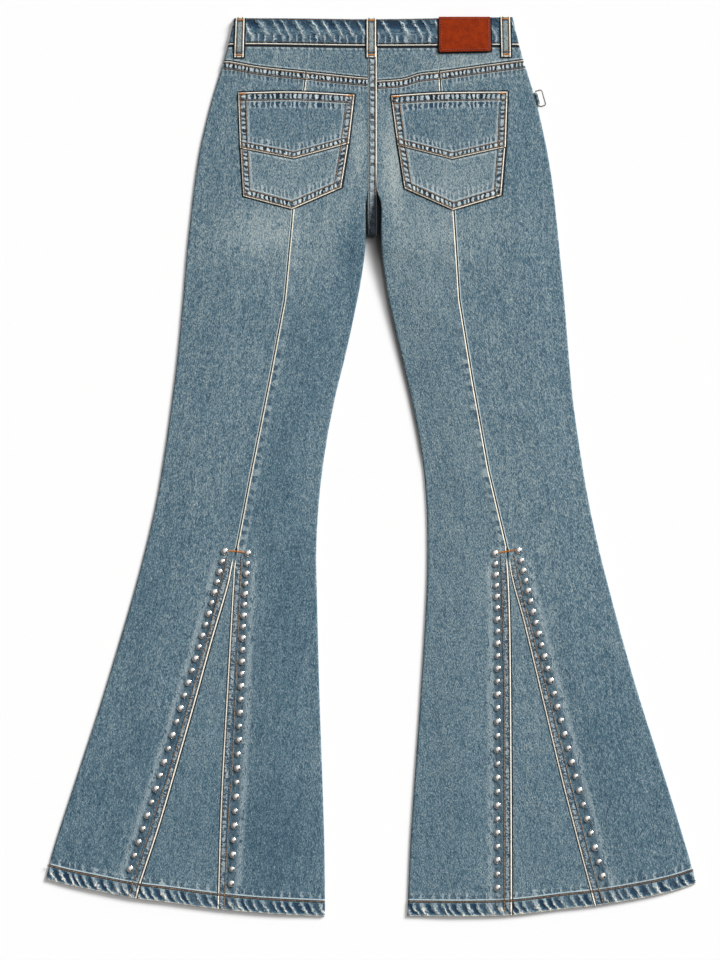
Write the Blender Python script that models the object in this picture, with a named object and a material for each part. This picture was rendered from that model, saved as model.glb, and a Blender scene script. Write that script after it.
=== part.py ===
"""Flared jeans laid flat on their front, seen from the back.

The part lies in the XY plane: the waist points to +Y, the back of the jeans faces +Z and the front rests on Z = 0.
Every table is in pattern units of UNIT metres, counted from the top left corner of the pattern sheet: x runs to the
right and y runs down, towards the hems. Heights and walls are in metres.
"""

import math

import bmesh
import bpy
from mathutils import Vector

UNIT = 0.0012222
SHEET_CENTRE_X = 371.28
SHEET_CENTRE_Y = 466.55

# Walls and levels.
GAP = 0.0003
DENIM = 0.0013
FRONT_WALL = 0.0014
BACK_REST = FRONT_WALL + GAP
WAIST_WALL = 0.0023
WAIST_LIFT = 0.0017
FRONT_LOOP_WALL = 0.0011
FRONT_INSET = 0.0025
POCKET_WALL = 0.0012
PATCH_WALL = 0.0014
LOOP_WALL = 0.0013

# The side edges of the jeans: y, x of the left edge, x of the right edge.
SIDES = (
    (17, 234.6, 512.6),
    (31, 231.4, 515.8),
    (45, 228.0, 519.2),
    (62, 223.4, 524.0),
    (80, 217.8, 529.6),
    (100, 211.8, 535.8),
    (120, 206.6, 540.6),
    (150, 199.8, 547.0),
    (180, 195.0, 552.0),
    (210, 191.4, 555.6),
    (250, 187.0, 559.6),
    (300, 182.8, 564.4),
    (360, 177.0, 569.2),
    (400, 172.0, 573.0),
    (450, 165.0, 580.0),
    (500, 156.6, 588.4),
    (550, 145.2, 599.2),
    (600, 131.8, 612.0),
    (650, 117.0, 625.4),
    (700, 101.8, 640.0),
    (750, 85.6, 656.0),
    (800, 69.2, 671.8),
    (850, 53.2, 687.0),
    (880, 45.6, 695.8),
)

# The inner edges of the legs: y, x on the left leg, x on the right leg. The first rows are the fork.
INNER_EDGES = (
    (190, 367.6, 376.9),
    (204, 366.2, 380.4),
    (236, 366.0, 380.4),
    (250, 365.2, 381.2),
    (280, 361.0, 385.2),
    (300, 357.2, 388.6),
    (330, 351.0, 395.2),
    (360, 344.2, 402.2),
    (400, 334.4, 411.4),
    (450, 325.2, 421.0),
    (500, 319.0, 426.2),
    (550, 316.2, 427.4),
    (600, 317.0, 426.2),
    (700, 319.6, 420.2),
    (800, 323.0, 413.2),
    (850, 324.4, 410.0),
    (915, 325.0, 407.4),
)

# The long seam of each leg's back, from the waistband to the point of the gusset: y, left leg, right leg.
LONG_SEAMS = (
    (46, 310.8, 436.6),
    (72, 306.4, 439.0),
    (93, 304.0, 440.4),
    (209, 293.5, 453.2),
    (300, 285.0, 459.0),
    (380, 270.0, 472.0),
    (470, 252.0, 488.0),
    (548, 237.0, 506.5),
)

# The sides of each gusset: y, outer side, inner side.
GUSSET_LEFT = (
    (548, 236.4, 237.6),
    (566, 232.4, 234.2),
    (584, 228.8, 233.0),
    (640, 212.4, 229.8),
    (700, 195.8, 226.4),
    (780, 173.0, 221.9),
    (830, 158.2, 219.8),
    (884, 140.4, 218.2),
    (899, 136.4, 217.8),
    (910, 133.0, 217.5),
)
GUSSET_RIGHT = (
    (548, 507.2, 506.0),
    (566, 509.2, 507.6),
    (584, 512.9, 508.8),
    (617, 522.2, 510.0),
    (665, 533.9, 510.7),
    (713, 545.4, 511.1),
    (780, 561.5, 511.5),
    (828, 573.9, 511.7),
    (866, 583.9, 511.8),
    (905, 594.5, 511.9),
    (917, 597.8, 511.9),
)
GUSSET_POINT = 564

# Lines that run across: x, y.
WAIST_TOP_LINE = ((234.6, 18.0), (300, 18.4), (372, 19.2), (440, 18.2), (512.6, 17.0))
WAIST_BOTTOM_LINE = ((228, 45.2), (250, 44.8), (372, 46.4), (519.2, 45.4))
YOKE_LINE_LEFT = ((223, 61.9), (230, 61.9), (258, 67.0), (306, 72.2), (353, 77.2), (368, 78.4))
YOKE_LINE_RIGHT = ((376, 81.4), (403, 79.2), (420, 74.2), (440, 72.0), (480, 66.4), (524.5, 60.4))
HEM_LINE_LEFT = (
    (45, 878.6),
    (66, 884.2),
    (97, 890.6),
    (136, 898.2),
    (170, 902.4),
    (217, 908.6),
    (262, 912.8),
    (325, 916.2),
)
HEM_LINE_RIGHT = (
    (407, 915.8),
    (470, 916.0),
    (513, 914.6),
    (564, 908.6),
    (597, 905.0),
    (646, 896.8),
    (676, 889.8),
    (696, 883.2),
)

# Pockets. Sides: y, left side, right side. Lines that run across: x, y.
POCKET_SIDES_LEFT = ((93, 238.2, 354.7), (147, 240.2, 348.3), (196, 243.0, 340.3), (210, 243.8, 338.4))
POCKET_SIDES_RIGHT = ((93, 390.6, 507.2), (147, 397.8, 505.4), (190, 404.4, 501.8), (210, 407.4, 500.0))
POCKET_MOUTH_LEFT = ((238, 93.2), (294, 92.2), (355, 95.4))
POCKET_MOUTH_RIGHT = ((390, 96.2), (439, 93.2), (508, 92.2))
POCKET_V_LEFT = ((239, 148.2), (294, 159.0), (349, 143.7))
POCKET_V_RIGHT = ((397, 145.4), (452, 159.4), (506, 147.2))
POCKET_END_LEFT = ((242.6, 196.2), (292, 209.4), (342, 187.8))
POCKET_END_RIGHT = ((404, 188.4), (453, 210.4), (502, 195.4))

# Rise of the cloth over the middle of each region: y, rise in metres, width over which it rises in pattern units.
CROWNS = (
    (17, 0.0006, 40),
    (80, 0.0012, 44),
    (150, 0.0018, 50),
    (230, 0.0021, 50),
    (400, 0.0018, 44),
    (550, 0.0017, 46),
    (750, 0.0013, 60),
    (916, 0.0010, 50),
)

# Soft ridges of the cloth: start x, y, end x, y, half width in pattern units, rise in metres.
FOLDS = (
    (330, 236, 236, 268, 24, 0.0006),
    (414, 236, 500, 270, 24, 0.0006),
    (206, 250, 196, 340, 22, 0.0004),
    (540, 250, 548, 340, 22, 0.0004),
    (196, 430, 290, 404, 24, 0.0005),
    (306, 470, 230, 498, 22, 0.0005),
    (552, 430, 460, 404, 24, 0.0005),
    (440, 470, 516, 498, 22, 0.0005),
    (176, 640, 110, 870, 24, 0.0006),
    (286, 620, 270, 880, 24, 0.0006),
    (572, 640, 640, 870, 24, 0.0006),
    (458, 620, 462, 880, 24, 0.0006),
    (206, 740, 180, 890, 22, 0.0004),
    (538, 740, 552, 890, 22, 0.0004),
)

# Rows of points down the legs, by y on the inner edge, between the finishes of the yoke seam and of the hem.
LEG_ROWS = (
    97, 122, 150, 178, 196, 206, 220, 234, 240, 248, 270, 300, 335, 370, 405, 440, 475, 510,
    550, 562, 576, 605, 645, 685, 725, 765, 805, 845,
)

# Studs in each row: number along the row, x, y. Sizes alternate.
STUDS_LEFT_OUTER = ((0, 224.7, 551.1), (6, 208.9, 613.4), (12, 188.4, 682.4), (18, 164.3, 761.9), (26, 130.3, 868.6))
STUDS_LEFT_INNER = ((0, 248.1, 553.2), (6, 243.8, 615.4), (12, 241.2, 686.1), (18, 237.5, 768.0), (26, 231.2, 883.2))
STUDS_RIGHT_INNER = ((0, 494.9, 553.2), (6, 497.2, 619.3), (12, 497.5, 694.3), (18, 497.4, 777.7), (26, 497.3, 887.5))
STUDS_RIGHT_OUTER = ((0, 518.6, 550.4), (6, 532.9, 611.7), (12, 550.6, 680.5), (18, 571.7, 762.0), (26, 602.4, 875.7))
STUD_COUNT = 27
STUD_RADII = (0.0043, 0.0036)
STUD_SIDES = 8
# The shape of a stud: share of its radius, share of its height.
STUD_RINGS = ((1.0, 0.0), (0.84, 0.62))
STUD_HEIGHT = 0.0026
STUD_TAPE_HALF = 0.0008
STUD_TAPE_FOOT = 0.00016
STUD_TAPE_WALL = 0.0003

# How an edge of a piece is finished, from the edge inwards: distance from the edge of the upper surface,
# share of its height, lift, then distance from the edge of the lower surface and share of its height.
ROLLED = (
    (0.0, 0.12, 0.0, 0.0013, 0.06),
    (0.0005, 0.74, 0.0, 0.0015, 0.80),
    (0.0015, 0.93, 0.0, 0.0023, 1.0),
    (0.0034, 1.0, 0.0, 0.0036, 1.0),
)
BUTTED = (
    (0.0, 1.0, -0.0004, 0.0, 1.0),
    (0.0010, 1.0, 0.0, 0.0010, 1.0),
)
LAPPED = (
    (0.0, 1.0, 0.0001, 0.0, 1.0),
    (0.0007, 1.0, 0.0005, 0.0007, 1.0),
    (0.0082, 1.0, 0.0004, 0.0082, 1.0),
    (0.0096, 1.0, 0.0, 0.0096, 1.0),
)
HEMMED = (
    (0.0, 1.0, -0.0001, 0.0, 1.0),
    (0.0010, 1.0, 0.0006, 0.0010, 1.0),
    (0.0175, 1.0, 0.0006, 0.0175, 1.0),
    (0.0195, 1.0, 0.0, 0.0195, 1.0),
)
PLAIN = ((0.0, 1.0, 0.0, 0.0, 1.0),)

# Places named on their own.
FORK_TOP = 200
CROTCH = 236
SEAT_TOP = 78.4
SEAT_END = 235.5
SEAT_LEFT = 367.6
SEAT_RIGHT = 376.9
HEM_LEVEL = 916.0
WAIST_FOOT = 45.4
LOOP_FOOT = 58.5
SEAT_START = 46.7
SEAM_LIFT = 0.0004
SEAM_LIFT_RUN = 3.0
POCKET_STEP = 0.0006
HALF_GAP = 0.5 * GAP
CORNER_STARTS = (70, 800)

# Where the height of the cloth changes: the lift under the waistband, the share of a soft ridge that its ends keep,
# how far in from an edge the ridges grow to full, and how the crown opens below the crotch.
WAIST_LIFT_FOOT = 84.0
WAIST_LIFT_RUN = 34.0
FOLD_END = 0.12
FOLD_EDGE = 20.0
FORK_OPENING = 30.0
SEAT_SINK = 0.95

# Where a belt loop leaves the waistband, and how long it takes to come down to the yoke.
LOOP_DROP_FROM = WAIST_FOOT + 2.5
LOOP_DROP_RUN = 7.0

# Where a folded edge ends above a pocket and starts again below it, and how long each change takes.
LAP_END = 84.0
LAP_END_RUN = 6.0
LAP_START = 216.0
LAP_START_RUN = 8.0
GUSSET_RUN = 14.0
FORK_SHARE = 0.45
FORK_START = FORK_TOP - 4.0
FORK_RUN = 10.0
CROTCH_RUN = 4.0

# Lengths of the short pieces down the sheet, only used to space their rows.
YOKE_LENGTH = 22
BAND_LENGTH = 28
POCKET_TOP_LENGTH = 60
POCKET_END_LENGTH = 48
PATCH_LENGTH = 35
FRONT_LOOP_LENGTH = 27

# Belt loops and patch: y, left side, right side.
BELT_LOOPS = (
    ("belt_loop_left", ((17.8, 236.0, 245.4), (57.9, 234.4, 244.3))),
    ("belt_loop_centre", ((18.6, 366.6, 376.6), (58.0, 366.6, 376.6))),
    ("belt_loop_right", ((16.9, 500.2, 510.4), (57.4, 501.2, 511.2))),
)
PATCH_SIDES = ((17.6, 438.6, 489.8), (53.0, 438.8, 490.4))
PATCH_FOOT = ((438, 53.0), (490, 51.9))

# The front: its middle, the side of the fly (y, x), and the rows of points down it by y.
FRONT_CENTRE = 371.7
FRONT_FORK = 233.0
FLY_SIDE = ((46, 344.0), (140, 344.0), (165, 350.0), (182, 368.0))
FLY_ROWS = (46.9, 90, 140, 165, 174, 181.4)
FRONT_ROWS = (
    46.9, 62, 76, 90, 104, 122, 140, 165, 181.6, 182.4, 206, 220, 232.4, 234.0, 246, 262, 285, 310, 340, 370,
    400, 430, 460, 490, 520, 548, 572, 600, 640, 690, 740, 790, 840, 880, 914.5,
)

# The loop and ring at the right hip, in metres from the start of the loop along the side edge and outwards from it.
HIP_START = (533.2, 91.2)
HIP_END = (537.3, 105.8)
RING_WIRE = 0.00065
RING_AXIS_OUT = 0.00225
RING_FAR_OUT = 0.0103
RING_FROM = 0.0009
RING_TO = 0.0206
RING_CORNER = 0.0015
RING_FAR_CORNER = 0.0026
RING_LEVEL = 0.0021
HIP_LOOP_FROM = 0.0022
HIP_LOOP_TO = 0.0188
HIP_LOOP_INSIDE = 0.00095
HIP_LOOP_OUTSIDE = 0.00195
ROUND_SIDES = 10

MID_BLUE = (0.13, 0.21, 0.28)
LIGHT_BLUE = (0.24, 0.31, 0.36)
DARK_BLUE = (0.06, 0.12, 0.19)
TAN_LEATHER = (0.30, 0.09, 0.03)
STUD_SILVER = (0.72, 0.70, 0.68)
RING_GREY = (0.35, 0.34, 0.34)

FRONT_LOOPS = (("front_loop_left", 286.0, 296.0), ("front_loop_right", 450.0, 460.0))
BUTTON_RADIUS = 0.0085
BUTTON_SIDES = 20
BUTTON_PLACE = (FRONT_CENTRE - 12.0, 31.5)
STUD_ROWS = (
    ("stud_row_left_outer", STUDS_LEFT_OUTER),
    ("stud_row_left_inner", STUDS_LEFT_INNER),
    ("stud_row_right_inner", STUDS_RIGHT_INNER),
    ("stud_row_right_outer", STUDS_RIGHT_OUTER),
)


def smooth(share):
    share = min(1.0, max(0.0, share))
    return share * share * (3.0 - 2.0 * share)


def line(rows, column=1):
    """The function that runs smoothly through one column of a table, by its first column."""
    places = [row[0] for row in rows]
    values = [row[column] for row in rows]
    last = len(rows) - 1

    def slope(index):
        low = max(0, index - 1)
        high = min(last, index + 1)
        return (values[high] - values[low]) / (places[high] - places[low])

    slopes = [slope(index) for index in range(last + 1)]

    def value(place):
        if place <= places[0]:
            return values[0] + slopes[0] * (place - places[0])
        if place >= places[last]:
            return values[last] + slopes[last] * (place - places[last])
        index = max(i for i in range(last) if places[i] <= place)
        span = places[index + 1] - places[index]
        share = (place - places[index]) / span
        rise = values[index + 1] - values[index]
        near = span * slopes[index] * share * (1.0 - share) ** 2
        far = span * slopes[index + 1] * share**2 * (share - 1.0)
        return values[index] + rise * smooth(share) + near + far

    return value


def kinked(rows, column=1):
    """The function that runs straight from row to row of a table."""

    def value(place):
        index = 0
        while index < len(rows) - 2 and place > rows[index + 1][0]:
            index += 1
        low = rows[index]
        high = rows[index + 1]
        share = (place - low[0]) / (high[0] - low[0])
        return low[column] + share * (high[column] - low[column])

    return value


def moved(function, distance):
    """The same line, a distance in metres further on."""
    return lambda place: function(place) + distance / UNIT


left_side = line(SIDES, 1)
right_side = line(SIDES, 2)
left_inner = line(INNER_EDGES, 1)
right_inner = line(INNER_EDGES, 2)
crown_rise = line(CROWNS, 1)
crown_width = line(CROWNS, 2)
waist_top = line(WAIST_TOP_LINE)
waist_bottom = line(WAIST_BOTTOM_LINE)
yoke_left = line(YOKE_LINE_LEFT)
yoke_right = line(YOKE_LINE_RIGHT)
hem_left = line(HEM_LINE_LEFT)
hem_right = line(HEM_LINE_RIGHT)


def edge_distance(x, y):
    """Distance to the nearest edge of the jeans, in pattern units."""
    nearest = min(x - left_side(y), right_side(y) - x)
    if y > CROTCH:
        fork = max(left_inner(y) - x, x - right_inner(y), 0.0)
        closed = 1.0 - smooth((y - CROTCH) / FORK_OPENING)
        nearest = min(nearest, fork + closed * crown_width(y))
    return max(0.0, nearest)


def fold_rise(x, y):
    """Rise of the soft ridges at a place."""
    rise = 0.0
    here = Vector((x, y))
    for start_x, start_y, end_x, end_y, half_width, height in FOLDS:
        start = Vector((start_x, start_y))
        run = Vector((end_x, end_y)) - start
        share = min(1.0, max(0.0, (here - start).dot(run) / run.length_squared))
        away = (here - start - share * run).length / half_width
        if away < 1.0:
            along = math.pi * (FOLD_END + (1.0 - 2.0 * FOLD_END) * share)
            rise += height * (1.0 - away * away) ** 2 * math.sin(along)
    return rise


def lie(x, y):
    """Height of the underside of the upper layer at a place."""
    inside = edge_distance(x, y)
    crown = crown_rise(y) * smooth(inside / crown_width(y))
    lift = WAIST_LIFT * smooth((WAIST_LIFT_FOOT - y) / WAIST_LIFT_RUN)
    return BACK_REST + crown + lift + smooth(inside / FOLD_EDGE) * fold_rise(x, y)


def on_panels(x, y):
    """Height of the underside of a piece that lies on the panels."""
    return lie(x, y) + DENIM + GAP


def on_waistband(x, y):
    """Height of the underside of the patch, which stays flat past the foot of the waistband."""
    return lie(x, min(y, WAIST_FOOT)) + WAIST_WALL + GAP


def over_waistband(x, y):
    """Height of the underside of a belt loop, which comes down from the waistband to the yoke."""
    share = smooth((y - LOOP_DROP_FROM) / LOOP_DROP_RUN)
    return (1.0 - share) * on_waistband(x, y) + share * on_panels(x, y)


def in_seat(x, y):
    """Height of the underside of the seat seam, which sinks between the thighs in the fork."""
    sunk = smooth((y - FORK_TOP) / (SEAT_END - FORK_TOP))
    raised = SEAM_LIFT * smooth((y - LOOP_FOOT) / SEAM_LIFT_RUN)
    return BACK_REST + (1.0 - SEAT_SINK * sunk) * (lie(x, y) + raised - BACK_REST)


def level(height):
    """A height that is the same everywhere."""
    return lambda x, y: height


def place(x, y, height):
    return Vector(((x - SHEET_CENTRE_X) * UNIT, (SHEET_CENTRE_Y - y) * UNIT, height))


def meeting(side, across, start):
    """Where a side, x by y, meets a line that runs across, y by x."""
    y = start
    for _ in range(12):
        y = across(side(y))
    return Vector((side(y), y))


def always(rows):
    """A finish that is the same at every y."""
    return lambda y: rows


def fading(rows, amount):
    """A finish whose lifts and rolls grow from nothing to full by an amount that depends on y."""

    def finish(y):
        part = amount(y)
        return [
            (upper, 1.0 - part * (1.0 - share), part * lift, lower, 1.0 - part * (1.0 - under))
            for upper, share, lift, lower, under in rows
        ]

    return finish


def beside_pocket(y):
    """Full above the pockets and below them, and nothing under them."""
    full = smooth((y - LAP_END) / LAP_END_RUN)
    return 1.0 - full * smooth((LAP_START + LAP_START_RUN - y) / LAP_START_RUN)


def beside_gusset(y):
    """Nothing above the point of the gusset and full below it."""
    return smooth((y - GUSSET_POINT + GUSSET_RUN) / GUSSET_RUN)


def beside_fork(y):
    """Nothing along the seat seam, half in the fork and full down the leg."""
    fork = FORK_SHARE * smooth((y - FORK_START) / FORK_RUN)
    return fork + (1.0 - FORK_SHARE) * smooth((y - CROTCH) / CROTCH_RUN)


def stations(length, first, last, count):
    """The rows of two finishes at the ends of a length, and evenly spaced plain rows between them.

    A row is (upper place, share, lift, lower place, under share), its places as shares of the length.
    """
    deepest = first[-1][0] + last[-1][0]
    shrink = min(1.0, 0.8 * length / deepest) if deepest else 1.0
    scale = shrink / length
    rows = [(upper * scale, share, lift, lower * scale, under) for upper, share, lift, lower, under in first]
    tail = [
        (1.0 - upper * scale, share, lift, 1.0 - lower * scale, under)
        for upper, share, lift, lower, under in reversed(last)
    ]
    begin = rows[-1][0]
    end = tail[0][0]
    for index in range(1, count + 1):
        between = begin + (end - begin) * index / (count + 1)
        rows.append((between, 1.0, 0.0, between, 1.0))
    return rows + tail


def leg_stations():
    """The rows of points down a leg, shared by its panels and its gusset so that their seams meet."""
    top = yoke_left(SEAT_LEFT)
    length = hem_left(left_inner(HEM_LEVEL)) - top
    between = [((y - top) / length, 1.0, 0.0, 0.0, 1.0) for y in LEG_ROWS]
    ends = stations(length * UNIT, LAPPED, HEMMED, 0)
    return ends[: len(LAPPED)] + between + ends[len(LAPPED) :]


def surface(name, upper, lower, colour):
    """One closed body between two grids of points of the same shape."""
    mesh = bmesh.new()
    rows = len(upper)
    columns = len(upper[0])
    top = [[mesh.verts.new(point) for point in row] for row in upper]
    under = [[mesh.verts.new(point) for point in row] for row in lower]
    for i in range(rows - 1):
        for j in range(columns - 1):
            mesh.faces.new((top[i][j], top[i][j + 1], top[i + 1][j + 1], top[i + 1][j]))
            mesh.faces.new((under[i][j], under[i + 1][j], under[i + 1][j + 1], under[i][j + 1]))
    rim = [(i, 0) for i in range(rows)]
    rim += [(rows - 1, j) for j in range(1, columns)]
    rim += [(i, columns - 1) for i in range(rows - 2, -1, -1)]
    rim += [(0, j) for j in range(columns - 2, 0, -1)]
    for (i, j), (k, m) in zip(rim, rim[1:] + rim[:1]):
        mesh.faces.new((top[i][j], top[k][m], under[k][m], under[i][j]))
    return finished(name, mesh, colour)


def finished(name, mesh, colour, metallic=0.0, roughness=0.9):
    """The object of a closed mesh, facing out, with its own material."""
    bmesh.ops.recalc_face_normals(mesh, faces=mesh.faces)
    data = bpy.data.meshes.new(name)
    mesh.to_mesh(data)
    mesh.free()
    material = bpy.data.materials.new(name)
    material.use_nodes = True
    shader = material.node_tree.nodes["Principled BSDF"]
    shader.inputs["Base Color"].default_value = (*colour, 1.0)
    shader.inputs["Metallic"].default_value = metallic
    shader.inputs["Roughness"].default_value = roughness
    data.materials.append(material)
    thing = bpy.data.objects.new(name, data)
    bpy.context.scene.collection.objects.link(thing)
    return thing


def panel(name, sides, lines, ends, rows, columns, wall, colour, base=lie):
    """A cloth piece between two sides (x by y) and two lines across (y by x).

    ends holds the finishes of the two sides, rows the stations down the piece, columns the plain points across it.
    """
    corners = [[meeting(side, across, start) for side in sides] for across, start in zip(lines, CORNER_STARTS)]
    upper = []
    lower = []
    for down, _, down_lift, _, _ in rows:
        side_ys = [top.y + down * (bottom.y - top.y) for top, bottom in zip(*corners)]
        start, end = (Vector((side(y), y)) for side, y in zip(sides, side_ys))
        width = (end - start).length * UNIT
        left_end, right_end = (finish(y) for finish, y in zip(ends, side_ys))
        upper_row = []
        lower_row = []
        for over, share, lift, under_over, under_share in stations(width, left_end, right_end, columns):
            raised = min(lift, down_lift) if min(lift, down_lift) < 0.0 else max(lift, down_lift)
            for points, along in ((upper_row, over), (lower_row, under_over)):
                x, y = start + along * (end - start)
                for across, (near, far), weight in zip(lines, corners, (1.0 - down, down)):
                    straight = near + along * (far - near)
                    y += weight * (across(straight.x) - straight.y)
                height = base(x, y)
                height = share * (height + wall) + raised if points is upper_row else under_share * height
                points.append(place(x, y, height))
        upper.append(upper_row)
        lower.append(lower_row)
    return surface(name, upper, lower, colour)


def build_legs():
    """The back of each leg: an outer and an inner panel, and the gusset between them."""
    rows = leg_stations()
    outer_left = line(GUSSET_LEFT, 1)
    inner_left = line(GUSSET_LEFT, 2)
    outer_right = line(GUSSET_RIGHT, 1)
    inner_right = line(GUSSET_RIGHT, 2)
    seam_foot = GUSSET_LEFT[0][0]

    def split(column, gusset):
        seam = kinked(LONG_SEAMS, column)
        return lambda y: seam(y) if y < seam_foot else gusset(y)

    def inner_side(edge, seat):
        return lambda y: edge(y) if y > INNER_EDGES[0][0] else seat

    lap = fading(LAPPED, beside_pocket)
    point_lap = fading(LAPPED, beside_gusset)
    fork = fading(ROLLED, beside_fork)
    rolled = always(ROLLED)
    butted = always(BUTTED)
    left_lines = (yoke_left, hem_left)
    right_lines = (yoke_right, hem_right)
    split_1 = split(1, outer_left)
    split_2 = split(1, inner_left)
    split_3 = split(2, inner_right)
    split_4 = split(2, outer_right)
    side_1 = inner_side(left_inner, SEAT_LEFT)
    side_2 = inner_side(right_inner, SEAT_RIGHT)
    panel("leg_outer_left", (left_side, moved(split_1, -HALF_GAP)), left_lines, (rolled, point_lap),
          rows, 5, DENIM, MID_BLUE)
    panel("leg_inner_left", (moved(split_2, HALF_GAP), side_1), left_lines, (lap, fork),
          rows, 5, DENIM, MID_BLUE)
    panel("leg_inner_right", (side_2, moved(split_3, -HALF_GAP)), right_lines, (fork, lap),
          rows, 5, DENIM, MID_BLUE)
    panel("leg_outer_right", (moved(split_4, HALF_GAP), right_side), right_lines, (point_lap, rolled),
          rows, 5, DENIM, MID_BLUE)
    point = (GUSSET_POINT - SEAT_TOP) / (HEM_LEVEL - SEAT_TOP)
    gusset_rows = [row for row in rows if row[0] > point]
    panel("gusset_left", (moved(split_1, HALF_GAP), moved(split_2, -HALF_GAP)), left_lines, (butted, butted),
          gusset_rows, 2, DENIM, LIGHT_BLUE)
    panel("gusset_right", (moved(split_3, HALF_GAP), moved(split_4, -HALF_GAP)), right_lines, (butted, butted),
          gusset_rows, 2, DENIM, LIGHT_BLUE)


def cross_rows(length, first, last, count):
    """Stations down a piece whose length is given in pattern units."""
    return stations(length * UNIT, first, last, count)


def build_seat():
    """The yoke pieces, the seat seam between them and the waistband."""
    rolled = always(ROLLED)
    butted = always(BUTTED)
    rows = cross_rows(YOKE_LENGTH, BUTTED, BUTTED, 2)
    foot = moved(waist_bottom, GAP)
    seams = [kinked(LONG_SEAMS, column) for column in (1, 2)]
    seat_left = level_side(SEAT_LEFT)
    seat_right = level_side(SEAT_RIGHT)
    for name, sides, yoke, ends, columns in (
        ("yoke_outer_left", (left_side, moved(seams[0], -HALF_GAP)), yoke_left, (rolled, butted), 5),
        ("yoke_inner_left", (moved(seams[0], HALF_GAP), seat_left), yoke_left, (butted, butted), 5),
        ("yoke_inner_right", (seat_right, moved(seams[1], -HALF_GAP)), yoke_right, (butted, butted), 5),
        ("yoke_outer_right", (moved(seams[1], HALF_GAP), right_side), yoke_right, (butted, rolled), 5),
    ):
        panel(name, sides, (foot, moved(yoke, -GAP)), ends, rows, columns, DENIM, MID_BLUE)
    seam_sides = (moved(seat_left, GAP), moved(seat_right, -GAP))
    seam_rows = cross_rows(SEAT_END - SEAT_START, BUTTED, BUTTED, 16)
    panel("seat_seam", seam_sides, (foot, level_side(SEAT_END)), (butted, butted),
          seam_rows, 1, DENIM, MID_BLUE, in_seat)
    band_rows = cross_rows(BAND_LENGTH, BUTTED, BUTTED, 2)
    panel("waistband_back", (left_side, right_side), (waist_top, waist_bottom), (rolled, rolled),
          band_rows, 18, WAIST_WALL, DARK_BLUE)


def level_side(position):
    """A side or a line across that stays at one position."""
    return lambda place: position


def build_pockets():
    """Two pockets, each of an upper and a lower piece that meet at a V."""
    butted = always(BUTTED)
    top_rows = cross_rows(POCKET_TOP_LENGTH, LAPPED, LAPPED, 2)
    end_rows = cross_rows(POCKET_END_LENGTH, BUTTED, BUTTED, 3)
    for word, table, mouth, vee, end in (
        ("left", POCKET_SIDES_LEFT, POCKET_MOUTH_LEFT, POCKET_V_LEFT, POCKET_END_LEFT),
        ("right", POCKET_SIDES_RIGHT, POCKET_MOUTH_RIGHT, POCKET_V_RIGHT, POCKET_END_RIGHT),
    ):
        sides = (kinked(table, 1), kinked(table, 2))
        lower_sides = (moved(sides[0], POCKET_STEP), moved(sides[1], -POCKET_STEP))
        vee_line = kinked(vee)
        panel(f"pocket_upper_{word}", sides, (line(mouth), vee_line), (butted, butted),
              top_rows, 6, POCKET_WALL, MID_BLUE, on_panels)
        panel(f"pocket_lower_{word}", lower_sides, (moved(vee_line, GAP), kinked(end)), (butted, butted),
              end_rows, 6, POCKET_WALL, MID_BLUE, on_panels)


def build_waist_trim():
    """The belt loops and the leather patch on the back of the waistband."""
    butted = always(BUTTED)
    for name, table in BELT_LOOPS:
        sides = (kinked(table, 1), kinked(table, 2))
        top, bottom = (level_side(row[0]) for row in (table[0], table[-1]))
        rows = cross_rows(table[-1][0] - table[0][0], BUTTED, BUTTED, 8)
        panel(name, sides, (top, bottom), (butted, butted), rows, 1, LOOP_WALL, MID_BLUE, over_waistband)
    sides = (kinked(PATCH_SIDES, 1), kinked(PATCH_SIDES, 2))
    rows = cross_rows(PATCH_LENGTH, BUTTED, BUTTED, 3)
    panel("waist_patch", sides, (level_side(PATCH_SIDES[0][0]), kinked(PATCH_FOOT)), (butted, butted),
          rows, 4, PATCH_WALL, TAN_LEATHER, on_waistband)


def plain_rows(levels):
    """Stations without a finish at each y of a list."""
    first = levels[0]
    length = levels[-1] - first
    return [((y - first) / length, 1.0, 0.0, 0.0, 1.0) for y in levels]


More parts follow.
